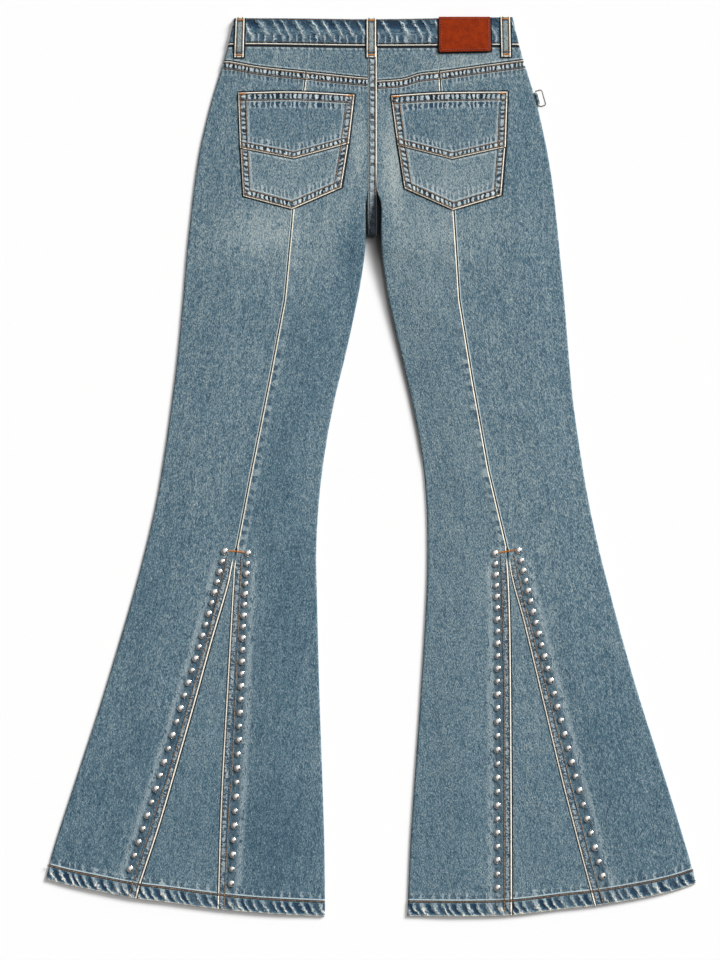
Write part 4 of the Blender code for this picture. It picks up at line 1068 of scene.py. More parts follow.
# %% Build the gussets
point_share = (GUSSET_POINT - SEAT_TOP) / (HEM_LEVEL - SEAT_TOP)
GUSSET_DOWN = LEG_DOWN[LEG_DOWN > point_share]
for word, sides, lines, flow, seed in (
    ("left", (moved(splits[0], HALF_GAP), moved(splits[1], -HALF_GAP)), lines_left, flow_left, 5),
    ("right", (moved(splits[2], HALF_GAP), moved(splits[3], -HALF_GAP)), lines_right, flow_right, 6),
):
    lay_cloth("gusset_" + word, denim_gusset, sides, lines,
              (*gusset_sides, yoke_lap, hem_fold), GUSSET_DOWN, 26, DENIM, flow=flow, seed=seed)

# %% [markdown]
# ## Yoke, seat seam and waistband
# The yoke is cut in four, tucked under the waistband and under the legs. The seat seam is a felled seam: a
# narrow raised strip with two rows of thread. The waistband is a double layer, worn in slanting streaks.

# %% Materials of the top
denim_yoke = denim("denim_yoke_panel", (
    # Painted shadow on the yoke just under the foot of the waistband.
    Band("dark", "under_band", -1.0, 2.8, 0.5, 0.0, 0.4, 0.99),
    Band("pale", "under_band", 3.2, 5.2, 0.8, 0.6, 1.0, 0.4),
    Band("ink", "under_band", 2.8, 7.0, 1.6, -0.9, 1.4, 0.45),
    Band("pale", "above_yoke", 1.5, 3.0, 0.6, 0.5, 1.2, 0.55),
    # Painted shadow on the yoke under the folded edge of the leg panels.
    Band("dark", "above_yoke", -1.0, 1.0, 0.4, 0.0, 0.3, 0.85),
    Band("pale", "seam", -1.0, 0.8, 0.3, 0.4, 0.9, 0.45),
) + OUTLINE_SHADE, shift=0.04)
denim_seat = denim("denim_seat_seam", (
    Band("pale", "seat_left", -1.0, 0.7, 0.3, 0.2, 0.6, 0.55),
    Band("dark", "seat_left", 1.0, 1.8, 0.4, -0.6, 0.7, 0.7),
    Band("ink", "seat_left", 2.6, 8.0, 0.6, -0.6, 1.8, 0.45),
    Band("pale", "seat_left", 2.8, 7.6, 0.5, 0.5, 1.5, 0.6),
    Band("dark", "seat_left", 2.8, 7.8, 0.4, -1.0, 0.9, 0.6, thin=0.22),
    Band("dark", "seat_right", 3.0, 3.6, 0.3, -0.6, 0.9, 0.7),
    Band("dark", "seat_right", 1.5, 2.1, 0.3, -0.6, 0.9, 0.7),
    Band("cream", "seat_right", -1.0, 1.1, 0.3, 0.2, 0.5, 0.95),
    # Painted deep shade over the foot of the seat seam, down in the fork.
    Band("dark", "fork", -90.0, 17.0, 22.0, 0.0, 0.5, 0.97),
), shift=0.10)
denim_band = denim("denim_waistband_double", (
    Band("ink", "band_top", 2.0, 14.0, 2.6, -0.9, 1.9, 0.95),
    Band("dark", "band_top", 2.5, 10.0, 2.0, -1.0, 1.7, 0.45, thin=0.15),
    Band("pale", "band_top", 4.0, 22.0, 3.0, 1.0, 0.2, 1.0, thin=0.352, bend=0.35),
    Band("pale", "band_top", 8.0, 27.0, 4.0, 1.0, 1.2, 0.22, thin=0.16, bend=0.4),
    Band("ink", "band_foot", 4.0, 12.0, 2.0, -0.9, 1.4, 0.65),
    Band("pale", "band_foot", 2.8, 12.0, 2.5, 1.0, 0.5, 0.6, thin=0.28, bend=0.6),
    Band("dark", "band_foot", 1.4, 3.2, 0.4, -0.7, 0.9, 0.95),
    # The foot of the waistband is cream painted brighter, as if lit.
    Band("painted_lit_cream", "band_foot", -1.0, 1.2, 0.3, 0.1, 0.3, 0.97),
) + OUTLINE_SHADE, shift=-0.46, contrast=1.15)
print("materials so far:", len(bpy.data.materials))

# %% Build the yoke and the seat seam
foot_line = moved(waist_bottom, GAP)
long_seams = [kinked(LONG_SEAMS, column) for column in (1, 2)]
YOKE_DOWN = graded((46, 46.8, 0.4), (46.8, 68, 1.0))
above_yoke = Border("above_yoke", (), BUTT_LIFTS, beat=even_beat(7.0, 21))
under_band = Border("under_band", (), BUTT_LIFTS, beat=even_beat(8.0, 23), puckers=((2.0, 9.0, 0.1),))
plain_butt = Border("plain", BUTT_STEPS, BUTT_LIFTS)
yoke_seam = Border("seam", BUTT_STEPS, BUTT_LIFTS, beat=even_beat(6.0, 25))
for node, sides, yoke, ends, between, seed in (
    ("yoke_outer_left", (left_side, moved(long_seams[0], -HALF_GAP)), yoke_left,
     (rolled, yoke_seam), 62, 7),
    ("yoke_inner_left", (moved(long_seams[0], HALF_GAP), steady(SEAT_LEFT)), yoke_left,
     (yoke_seam, plain_butt), 48, 8),
    ("yoke_inner_right", (steady(SEAT_RIGHT), moved(long_seams[1], -HALF_GAP)), yoke_right,
     (plain_butt, yoke_seam), 48, 9),
    ("yoke_outer_right", (moved(long_seams[1], HALF_GAP), right_side), yoke_right,
     (yoke_seam, rolled), 62, 10),
):
    lay_cloth(node, denim_yoke, sides, (foot_line, moved(yoke, -GAP)),
              (*ends, under_band, above_yoke), YOKE_DOWN, between, DENIM, seed=seed, extra=shade_beside_pieces)
seat_sides = (steady(SEAT_LEFT + GAP / UNIT), steady(SEAT_RIGHT - GAP / UNIT))
seat_beat = graded_beat(((40, 5.5), (100, 6.5), (150, 9), (236, 8)), 27)
SEAT_STEPS = (0, 0.25, 0.6, 1.1, 1.8, 2.6, 3.4)
SEAT_LIFTS = ((0, -0.4), (0.3, -0.12), (0.8, 0))
seat_ends = [Border(role, SEAT_STEPS, SEAT_LIFTS, beat=seat_beat, puckers=((2.6, 7.4, 0.12),),
                    grooves=((2.2, 0.2),)) for role in ("seat_left", "seat_right")]
SEAT_SHADE_LEAN = 5.0


def seat_foot(x, y):
    """Distance in mm up from the foot of the seat seam, for its painted shade.

    It leans, so the painted shade climbs higher on the right.
    """
    rise = SEAT_END - y - SEAT_SHADE_LEAN * (x - SEAT_LEFT)
    return {"from_fork": rise * UNIT / MM, "beat_fork": 0.0 * x}


lay_cloth("seat_seam", denim_seat, seat_sides, (foot_line, steady(SEAT_END)),
          (*seat_ends, plain_butt, plain_butt), graded((46.7, SEAT_END, 1.0)), 4, DENIM, base=in_seat,
          seed=11, extra=seat_foot)

# %% Build the waistband
def band_lean(away):
    """Worn streaks of the waistband lean over: their feet are further to the right."""
    return -0.55 * away


band_top = Border("band_top", (), rolled=True, beat=even_beat(15.5, 31, band_lean),
                  puckers=((4.0, 24.0, 0.12),), grooves=((2.0, 0.15),))
band_foot = Border("band_foot", (), FOLD_LIFTS, beat=even_beat(9.0, 33), puckers=((2.5, 12.0, 0.12),),
                   grooves=((2.1, 0.15),))
BAND_DOWN = graded((18, 18.1, 0.03), (18.1, 18.9, 0.16), (18.9, 20.9, 0.5), (20.9, 43, 0.95), (43, 45, 0.5),
                   (45, 45.8, 0.16), (45.8, 45.9, 0.03))
lay_cloth("waistband_back", denim_band, (left_side, right_side),
          (waist_top, waist_bottom), (rolled, rolled, band_top, band_foot), BAND_DOWN, 250, WAIST_WALL,
          turned=True, seed=12, extra=shade_beside_pieces)

# %% [markdown]
# ## Pockets
# A patch pocket has a hemmed mouth, two rows of thread round its edge, and here a seam in a V that laps
# over the lower piece. Its seams wear hardest of all: cream edges, and rungs of white and indigo between
# the threads.

# %% Materials of the pockets
POCKET_SIDE_BANDS = (
    Band("dark", "side", 1.3, 1.9, 0.3, -0.5, 0.7, 0.7),
    Band("ink", "side", 2.0, 8.8, 0.7, -0.8, 1.3, 0.8),
    Band("pale", "side", 2.8, 7.2, 0.6, 0.7, 1.5, 0.6),
    Band("dark", "side", 2.6, 7.6, 0.5, -1.0, 0.8, 0.6, thin=0.2),
    Band("pale", "side", 9.8, 12.5, 1.0, 0.4, 1.6, 0.4),
    Band("cream", "side", -1.0, 1.2, 0.3, 0.1, 0.3, 0.95),
)
denim_mouth = denim("denim_pocket_mouth", POCKET_SIDE_BANDS + (
    Band("dark", "mouth", 1.3, 2.0, 0.3, -0.5, 0.7, 0.7),
    Band("ink", "mouth", 2.0, 9.2, 0.6, -0.9, 0.9, 0.92),
    Band("pale", "mouth", 2.8, 8.4, 0.5, 0.9, 1.0, 0.75),
    Band("dark", "mouth", 2.4, 8.8, 0.4, -1.0, 0.6, 0.7, thin=0.2),
    Band("pale", "mouth", 10.6, 12.2, 0.6, 0.4, 1.0, 0.65),
    Band("ink", "mouth", 12.4, 18.5, 1.6, -0.8, 1.2, 0.85),
    Band("pale", "mouth", 12.0, 20.0, 1.8, 1.0, 0.9, 0.5, thin=0.12),
    Band("cream", "mouth", -1.0, 1.2, 0.3, 0.1, 0.4, 0.92),
), shift=-0.04)
denim_vee = denim("denim_pocket_vee", POCKET_SIDE_BANDS + (
    Band("ink", "vee", 1.4, 8.0, 0.6, -0.9, 0.8, 0.85),
    Band("pale", "vee", 2.6, 6.4, 0.5, 0.9, 0.9, 0.85),
    Band("dark", "vee", 2.4, 6.8, 0.4, -1.0, 0.6, 0.7, thin=0.2),
    Band("pale", "vee", 8.4, 9.8, 0.6, 0.4, 1.0, 0.6),
    Band("pale", "vee", 9.0, 17.0, 2.5, 0.9, 0.9, 0.42, thin=0.08),
    Band("ink", "vee", 9.5, 14.0, 1.5, -0.9, 1.2, 0.5),
    # The folded edge of the vee is cream painted brighter, as if lit.
    Band("painted_lit_cream", "vee", -1.0, 1.2, 0.3, 0.2, 0.5, 0.88),
), shift=-0.04)
POCKET_CHANGE_AT = 122.0
denim_pocket = (denim_mouth, denim_vee, POCKET_CHANGE_AT)
denim_pocket_end = denim("denim_pocket_lower", POCKET_SIDE_BANDS + (
    # Painted shadow on the lower piece under the folded vee of the upper piece.
    Band("dark", "vee", -1.0, 1.3, 0.4, 0.0, 0.3, 0.9),
    Band("pale", "vee", 1.8, 4.0, 0.8, 0.6, 1.4, 0.45),
    Band("dark", "end", 1.3, 1.9, 0.3, -0.5, 0.7, 0.65),
    Band("ink", "end", 2.0, 9.0, 0.5, -0.9, 0.9, 0.88),
    Band("pale", "end", 2.8, 7.6, 0.5, 0.9, 1.0, 0.9),
    Band("dark", "end", 2.4, 8.2, 0.4, -1.0, 0.6, 0.7, thin=0.2),
    Band("pale", "end", 9.8, 11.6, 0.6, 0.4, 0.9, 0.6),
    Band("pale", "end", 11.0, 20.0, 2.5, 0.9, 0.9, 0.42, thin=0.1),
    Band("ink", "end", 12.0, 17.0, 2.0, -0.9, 1.2, 0.35),
    # The foot of the pocket is cream painted brighter, as if lit.
    Band("painted_lit_cream", "end", -1.0, 1.3, 0.3, 0.1, 0.3, 0.95),
), shift=0.10)
print("materials so far:", len(bpy.data.materials))

# %% Build the pockets
MOUTH_DOWN = graded((93, 93.8, 0.27), (93.8, 152, 1.05), (152, 152.9, 0.3))
END_DOWN = graded((152, 152.9, 0.3), (152.9, 204, 1.05), (204, 205, 0.3))
pocket_edge = ((0, -0.35), (0.3, -0.1), (0.7, 0))
pocket_sides = [Border("side", SEAM_STEPS, pocket_edge, beat=even_beat(6.2, seed),
                       puckers=((2.6, 8.4, 0.12),), grooves=((2.0, 0.15), (8.6, 0.2)))
                for seed in (41, 43)]
mouth_hem = Border("mouth", (), LAP_LIFTS, beat=even_beat(6.2, 45), puckers=((2.6, 9.0, 0.14),),
                   grooves=((9.8, 0.2),))
vee_lap = Border("vee", (), ((0, 0.1), (0.3, 0.4), (0.8, 0.5), (7.0, 0.4), (8.4, 0)),
                 beat=even_beat(5.6, 47), puckers=((2.2, 6.8, 0.12),), grooves=((1.7, 0.12), (7.4, 0.18)))
vee_butt = Border("vee", (), ((0, -0.3), (0.35, -0.1), (0.9, 0)), beat=even_beat(8.0, 48))
end_fold = Border("end", (), pocket_edge, beat=even_beat(5.6, 49), puckers=((2.6, 8.4, 0.12),),
                  grooves=((2.0, 0.15), (8.6, 0.2)))
for word, table, mouth, vee, end, seed in (
    ("left", POCKET_SIDES_LEFT, POCKET_MOUTH_LEFT, POCKET_V_LEFT, POCKET_END_LEFT, 13),
    ("right", POCKET_SIDES_RIGHT, POCKET_MOUTH_RIGHT, POCKET_V_RIGHT, POCKET_END_RIGHT, 15),
):
    sides = (kinked(table, 1), kinked(table, 2))
    lower_sides = (moved(sides[0], POCKET_STEP), moved(sides[1], -POCKET_STEP))
    lay_cloth("pocket_upper_" + word, denim_pocket, sides, (line(mouth), kinked(vee)),
              (*pocket_sides, mouth_hem, vee_lap), MOUTH_DOWN, 80, POCKET_WALL, base=on_panels, seed=seed)
    lay_cloth("pocket_lower_" + word, denim_pocket_end, lower_sides,
              (moved(kinked(vee), GAP), kinked(end)), (*pocket_sides, vee_butt, end_fold), END_DOWN, 80,
              POCKET_WALL, base=on_panels, seed=seed + 1)

# %% [markdown]
# ## Belt loops
# A belt loop is a folded strip, worn pale, with cream edges and a row of thread inside each. It comes down
# over the waistband and is tacked to the yoke.

# %% Belt loops
denim_loop = denim("denim_belt_loop", (
    Band("dark", "side", 1.9, 3.1, 0.4, -0.5, 0.8, 0.8),
    Band("ink", "end", 3.4, 6.5, 0.8, 0.0, 1.0, 0.7),
    Band("cream", "side", -1.0, 1.25, 0.3, 0.1, 0.3, 0.95),
    Band("cream", "end", -1.0, 1.4, 0.3, 0.0, 0.4, 0.9),
), shift=0.56, contrast=0.7, blue=(1.0, 0.97, 0.92))
LOOP_STEPS = (0, 0.2, 0.5, 1.0, 1.7, 2.5, 3.4)
LOOP_ENDS = 0.6
loop_side = Border("side", LOOP_STEPS, ((0, -0.4), (0.25, -0.15), (0.7, 0)), beat=even_beat(4.0, 51),
                   grooves=((2.3, 0.2),))
loop_end = Border("end", (), ((0, -0.4), (0.3, -0.12), (0.8, 0)))
for number, (node, table) in enumerate(BELT_LOOPS):
    low, high = table[0][0], table[-1][0]
    down = graded((low, low + LOOP_ENDS, 0.2), (low + LOOP_ENDS, high - LOOP_ENDS, 0.8),
                  (high - LOOP_ENDS, high, 0.2))
    lay_cloth(node, denim_loop, (kinked(table, 1), kinked(table, 2)),
              (steady(low), steady(high)), (loop_side, loop_side, loop_end, loop_end), down, 6, LOOP_WALL,
              base=over_waistband, seed=20 + number)

# %% [markdown]
# ## Leather patch
# The patch is bare rust-brown leather with rounded lower corners, stitched round its edge. Leather is
# smoother than cloth, with a fine pebble, scuffs, and edges burnished dark.

# %% Leather material
leather = bpy.data.materials.new("rust_leather")
leather.use_nodes = True
tree = leather.node_tree
hide = tree.nodes["Principled BSDF"]
hide.inputs["Specular IOR Level"].default_value = 0.1
spot = put(tree, "ShaderNodeTexCoord").outputs["Object"]
blotch = put(tree, "ShaderNodeTexNoise", {"Vector": spot, "Scale": 130.0, "Detail": 4.0}).outputs[0]
grain_line = put(tree, "ShaderNodeTexNoise", {"Vector": spot, "Scale": 520.0, "Detail": 3.0}).outputs[0]
pebble = put(tree, "ShaderNodeTexVoronoi", {"Vector": spot, "Scale": 900.0},
             feature="DISTANCE_TO_EDGE").outputs[0]
base_tone = mixed(tree, ramp(tree, blotch, 0.3, 0.7), tone(124, 36, 0), tone(144, 46, 2))
fine_tone = mixed(tree, maths(tree, "MULTIPLY", ramp(tree, grain_line, 0.45, 0.75), 0.35), base_tone,
                  tone(166, 60, 16))
near_edge = maths(tree, "MINIMUM", attribute(tree, "from_side"), attribute(tree, "from_end"))
burnish = ramp(tree, near_edge, 0.2, 1.4, 0.75, 0.0)
edge_tone = mixed(tree, burnish, fine_tone, tone(104, 34, 16))
worn_edge = ramp(tree, near_edge, -0.1, 0.5, 0.5, 0.0)
tree.links.new(mixed(tree, worn_edge, edge_tone, tone(190, 96, 56)), hide.inputs["Base Color"])
tree.links.new(ramp(tree, blotch, 0.3, 0.7, 0.5, 0.66), hide.inputs["Roughness"])
pebbles = maths(tree, "ADD", maths(tree, "MULTIPLY", ramp(tree, pebble, 0.0, 0.25), 0.4), grain_line)
pebbled = put(tree, "ShaderNodeBump", {"Strength": 0.5, "Distance": 0.2 * MM, "Height": pebbles})
tree.links.new(pebbled.outputs[0], hide.inputs["Normal"])
print("leather nodes:", len(tree.nodes))

# %% Build the patch
PATCH_CORNER = 2.2
PATCH_CORNER_END = 0.05


def rounded(side, direction, foot):
    """A side that turns in over the last few units before the foot, as a quarter circle."""
    def value(y):
        deep = np.clip(np.asarray(y, float) - (foot - PATCH_CORNER), 0.0, PATCH_CORNER)
        return side(y) + direction * (PATCH_CORNER - np.sqrt(PATCH_CORNER**2 - deep**2))

    return value


PATCH_STEPS = (0, 0.15, 0.4, 0.8, 1.4, 2.2, 3.0)
patch_side = Border("side", PATCH_STEPS, ((0, -0.3), (0.3, -0.08), (0.8, 0)), grooves=((2.2, 0.15),))
patch_end = patch_side._replace(role="end", steps=())
patch_left = rounded(kinked(PATCH_SIDES, 1), 1.0, PATCH_FOOT[0][1] - PATCH_CORNER_END)
patch_right = rounded(kinked(PATCH_SIDES, 2), -1.0, PATCH_FOOT[1][1] - PATCH_CORNER_END)
lay_cloth("waist_patch", leather, (patch_left, patch_right),
          (steady(PATCH_SIDES[0][0]), kinked(PATCH_FOOT)), (patch_side, patch_side, patch_end, patch_end),
          graded((17.6, 18.2, 0.2), (18.2, 50.6, 0.8), (50.6, 52.6, 0.2), (52.6, 53, 0.05)), 44, PATCH_WALL,
          base=on_waistband, turned=True, seed=30)

# %% [markdown]
# ## The front
# The front lies underneath and hardly shows, so it is plain: two panels, a fly, the front of the
# waistband and two loops, all in the same washed denim, with painted deep shade on the upward face where
# it shows through the fork. The button of the CAD model stays as it is and gets its nickel with the studs.

# %% Build the front
# The front's upward face is painted dark in the fork, as deep shade.
denim_front = denim("denim_front_panel",
                    (Band("dark", "centre", -60.0, 22.0, 8.0, 0.0, 0.2, 1.0, "by_fork", upward=True),),
                    contrast=0.8)
flat = Border("plain", (0,))
FLY_FOOT = 181.4
FRONT_LOOP_LEFT = (286.0, 296.0)
FRONT_LOOP_RIGHT = (450.0, 460.0)
FRONT_SHADE_FROM = 180.0
FRONT_SHADE_TO = CROTCH + 6.0
FRONT_DOWN = graded((46.9, 232.4, 6.2), (232.4, 234.0, 0.8), (234.0, 914.5, 6.2))


def body_side(column, inset, gap):
    edge = moved(line(INNER_EDGES, column), inset)
    return lambda y: np.where(np.asarray(y, float) > FRONT_FORK, edge(y), FRONT_CENTRE + gap / UNIT)


def beside_fly(y):
    return np.where(np.asarray(y, float) < FLY_SIDE[-1][0], placket(y), left_body(y))


inset_left = moved(left_side, FRONT_INSET)
inset_right = moved(right_side, -FRONT_INSET)
placket = moved(kinked(FLY_SIDE), -GAP)
left_body = body_side(1, -FRONT_INSET, -HALF_GAP)
front_top = moved(waist_bottom, 2.0 * GAP)
band_top_line = moved(waist_top, HALF_GAP)


def front_band_level(x, y):
    """The front of the waistband lies on its loops."""
    return 0.0 * x + FRONT_LOOP_WALL + GAP


def front_fork_shade(x, y):
    """Where the front shows through the fork of the back: there its upward face is painted with deep shade.
    """
    return {
        "from_centre": np.abs(x - FRONT_CENTRE) * UNIT / MM,
        "beat_centre": 0.0 * x,
        "by_fork": eased((y - FRONT_SHADE_FROM) / 8.0) * eased((FRONT_SHADE_TO - y) / 4.0),
    }


band_lines = (band_top_line, waist_bottom)
loop_lines = (moved(band_top_line, GAP), moved(waist_bottom, -GAP))
BAND_ROWS = graded((18, 46, 3.0))
LOOP_ROWS = graded((19, 45, 2.0))
front_rows = (
    ("front_left", "denim_body", (inset_left, beside_fly), (front_top, moved(hem_left, -FRONT_INSET)),
     FRONT_DOWN, 20, FRONT_WALL, front_level),
    ("front_right", "denim_body", (body_side(2, FRONT_INSET, GAP), inset_right),
     (front_top, moved(hem_right, -FRONT_INSET)), FRONT_DOWN, 20, FRONT_WALL, front_level),
    ("fly", "denim_body", (kinked(FLY_SIDE), steady(FRONT_CENTRE)), (front_top, steady(FLY_FOOT)),
     graded((46.9, FLY_FOOT, 4.0)), 7, FRONT_WALL, front_level),
    ("waistband_front_left", "denim_waistband", (inset_left, steady(FRONT_CENTRE - HALF_GAP / UNIT)),
     band_lines, BAND_ROWS, 40, FRONT_WALL, front_band_level),
    ("waistband_front_right", "denim_waistband", (steady(FRONT_CENTRE + HALF_GAP / UNIT), inset_right),
     band_lines, BAND_ROWS, 40, FRONT_WALL, front_band_level),
    ("front_loop_left", "denim_loops", [steady(edge) for edge in FRONT_LOOP_LEFT], loop_lines,
     LOOP_ROWS, 3, FRONT_LOOP_WALL, front_level),
    ("front_loop_right", "denim_loops", [steady(edge) for edge in FRONT_LOOP_RIGHT], loop_lines,
     LOOP_ROWS, 3, FRONT_LOOP_WALL, front_level),
)
for number, (node, slot, sides, lines, down, between, wall, base) in enumerate(front_rows):
    lay_cloth(node, denim_front, sides, lines, (flat,) * 4, down, between, wall, base=base,
              seed=40 + number, extra=front_fork_shade)

# %% [markdown]
# ## A surface to sew on
# Thread and studs sit on whatever is highest at their place. One search tree over the back pieces and the
# front of the waistband answers that: a ray dropped from above gives the height and the tilt of the cloth.

# %% The search tree
def top_tree():
    corners = []
    faces = []
    for points in surfaces:
        rows, columns = points.shape[:2]
        first = len(corners) + np.arange(rows * columns).reshape(rows, columns)
        corners.extend(points.reshape(-1, 3).tolist())
        quads = np.stack([first[:-1, :-1], first[:-1, 1:], first[1:, 1:], first[1:, :-1]], axis=2)
        faces.extend(quads.reshape(-1, 4).tolist())
    return BVHTree.FromPolygons(corners, faces)


cloth_top = top_tree()
DROP_FROM = 50.0 * MM
WHERE_NONE_LIES = 4.0 * MM


def drop(x, y):
    """The highest cloth at a place of the pattern: its point and its normal."""
    point, normal, _, _ = cloth_top.ray_cast(place(x, y, DROP_FROM), Vector((0.0, 0.0, -1.0)))
    if point is None:
        return place(x, y, WHERE_NONE_LIES), Vector((0.0, 0.0, 1.0))
    return point, normal if normal.z > 0.0 else -normal


print("surfaces to sew on:", len(surfaces))

# %% [markdown]
# ## Thread
# Topstitching is thick thread: each stitch is a short spindle that bulges between two holes. A spindle
# needs only a few faces, because there are thousands of them, and each row is sewn along its own curve.

# %% Sew rows of stitches
Thread = collections.namedtuple("Thread", "length gap width height")
TOPSTITCH = Thread(4.3, -0.9, 1.3, 1.0)
FINE_STITCH = Thread(3.0, 0.1, 1.0, 0.8)
TACK = Thread(2.3, -1.3, 0.8, 0.9)
LAID_DOWN = Matrix.Rotation(0.5 * math.pi, 4, "Y")
STITCH_LIFT = 0.2
STITCH_WAVER = 0.08


def walk(xs, ys, step):
    """Places every step, in pattern units, along a curve given by points."""
    lengths = np.concatenate([[0.0], np.cumsum(np.hypot(np.diff(xs), np.diff(ys)))])
    count = max(1, int(lengths[-1] / step))
    spots = (np.arange(count) + 0.5) * lengths[-1] / count
    return [np.interp(spots, lengths, values) for values in (xs, ys)]


def seated(point, normal, turn):
    """A frame on the cloth whose x axis runs in a direction of the sheet."""
    side = normal.cross(Vector((math.cos(turn), math.sin(turn), 0.0))).normalized()
    axes = Matrix((side.cross(normal), side, normal)).transposed().to_4x4()
    return Matrix.Translation(point) @ axes


def sew(target, xs, ys, thread, across=False, seed=0):
    """Stitches along a curve; across turns each one square to it, as in a bar tack."""
    row = bmesh.new()
    step = (thread.width + 0.05 if across else thread.length + thread.gap) * MM / UNIT
    spots_x, spots_y = walk(np.asarray(xs, float), np.asarray(ys, float), step)
    ahead = np.arctan2(-np.gradient(spots_y), np.gradient(spots_x)) if len(spots_x) > 1 else [0.0]
    for number, (x, y, turn) in enumerate(zip(spots_x, spots_y, ahead)):
        point, normal = drop(x, y)
        waver = STITCH_WAVER * math.sin(3.1 * number + seed)
        turned = turn + waver + (0.5 * math.pi if across else 0.0)
        halves = [0.5 * part * MM for part in (thread.length, thread.width, thread.height)]
        spindle = seated(point + normal * STITCH_LIFT * MM, normal, turned) @ Matrix.Diagonal((*halves, 1.0))
        bmesh.ops.create_uvsphere(row, u_segments=6, v_segments=4, radius=1.0, matrix=spindle @ LAID_DOWN)
    for face in row.faces:
        face.smooth = True
    data = bpy.data.meshes.new("row")
    row.to_mesh(data)
    row.free()
    target.from_mesh(data)
    bpy.data.meshes.remove(data)


def thread_material(name, dark, light):
    """Spun cotton: uneven colour along the strand and a fine twist."""
    material = bpy.data.materials.new(name)
    material.use_nodes = True
    tree = material.node_tree
    shader = tree.nodes["Principled BSDF"]
    shader.inputs["Roughness"].default_value = 0.75
    shader.inputs["Sheen Weight"].default_value = 0.1
    spot = put(tree, "ShaderNodeTexCoord").outputs["Object"]
    uneven_dye = put(tree, "ShaderNodeTexNoise", {"Vector": spot, "Scale": 420.0, "Detail": 2.0}).outputs[0]
    twist = put(tree, "ShaderNodeTexWave", {"Vector": spot, "Scale": 900.0, "Distortion": 1.5},
                wave_type="BANDS", bands_direction="DIAGONAL").outputs[1]
    dyed = mixed(tree, ramp(tree, uneven_dye, 0.32, 0.68), dark, light)
    tree.links.new(dyed, shader.inputs["Base Color"])
    bump = put(tree, "ShaderNodeBump", {"Strength": 0.4, "Distance": 0.0001, "Height": twist})
    tree.links.new(bump.outputs[0], shader.inputs["Normal"])
    return material


brown_thread = thread_material("brown_thread", tone(62, 44, 28), tone(134, 98, 64))
grey_thread = thread_material("greyed_thread", tone(74, 60, 46), tone(150, 122, 92))
# A darker copy of the brown thread: painted shade on the seat seam's row down in the fork, and dark thread in
# the fine rows by the gussets and the waistband's foot.
dark_and_shaded_thread = thread_material("shaded_thread", tone(36, 32, 32), tone(104, 84, 66))
tack_thread = thread_material("orange_thread", tone(176, 98, 10), tone(224, 146, 36))
rust_thread = thread_material("rust_thread", tone(120, 40, 18), tone(160, 62, 30))


def sewn_piece(name, mesh, material):
    """One joined object of many stitches."""
    data = bpy.data.meshes.new(name)
    mesh.to_mesh(data)
    mesh.free()
    data.materials.append(material)
    thing = bpy.data.objects.new(name, data)
    bpy.context.scene.collection.objects.link(thing)
    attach(thing, "jeans")
    print(f"{name}: {len(data.polygons)} faces")
    return thing


# %% Rows along lines and sides
def along_line(line_across, x_from, x_to, offset):
    """Points along a line that runs across, offset down by mm."""
    xs = np.linspace(x_from, x_to, 60)
    return xs, line_across(xs) + offset * MM / UNIT


def along_side(side, y_from, y_to, offset):
    """Points along a side, offset to the right by mm."""
    ys = np.linspace(y_from, y_to, 80)
    return side(ys) + offset * MM / UNIT, ys


# %% Stitch the seams of the body
YOKE_ROWS = (2.0, 8.9)
SEAT_ROW = 2.2
SEAT_ROWS_FROM = 60.0
SEAT_ROW_ENDS = (206.0, 196.0)
FORK_ROW_END = 229.0
body_rows = bmesh.new()
for offset in YOKE_ROWS:
    sew(body_rows, *along_line(yoke_left, 224.5, 367.0, offset), TOPSTITCH)
    sew(body_rows, *along_line(yoke_right, 377.6, 523.5, offset), TOPSTITCH)
for line_across, start, end in ((hem_left, 47.5, 323.8), (hem_right, 408.8, 693.8)):
    sew(body_rows, *along_line(line_across, start, end, -HEM_BAND), TOPSTITCH)
for edge, offset, end in zip((SEAT_LEFT, SEAT_RIGHT), (SEAT_ROW, -SEAT_ROW), SEAT_ROW_ENDS):
    sew(body_rows, *along_side(steady(edge), SEAT_ROWS_FROM, end, offset), TOPSTITCH)
fine_rows = bmesh.new()
# The seat seam's left row goes on into the fork in the darker thread, as painted shade.
sew(fine_rows, *along_side(steady(SEAT_LEFT), SEAT_ROW_ENDS[0], FORK_ROW_END, SEAT_ROW), TOPSTITCH)
sewn_piece("stitches_body", body_rows, brown_thread)

# %% Stitch the gusset seams: a greyed brown outer row and a fine one near the fold
GUSSET_ROWS = (
    ((553, 228.5), (640, 207.4), (780, 167.3), (800, 159.2), (882, 133.2), (896, 128.6)),
    ((555, 241.4), (640, 237.9), (780, 231.5), (800, 229.4), (907, 224.0)),
    ((555, 500.8), (570, 501.4), (675, 503.9), (912, 504.3)),
    ((555, 513.6), (604, 524.4), (640, 533.9), (684, 545.4), (780, 569.5), (826, 581.8), (864, 591.3),
     (902, 602.6)),
)
gusset_rows = bmesh.new()
for table, side, direction in zip(GUSSET_ROWS, gusset_lines, (-1.0, 1.0, -1.0, 1.0)):
    sew(gusset_rows, *along_side(kinked(table), table[0][0], table[-1][0], 0.0), TOPSTITCH)
    sew(fine_rows, *along_side(side, 568.0, table[-1][0] + 1.0, direction * 2.5), FINE_STITCH)
sewn_piece("stitches_gusset", gusset_rows, grey_thread)

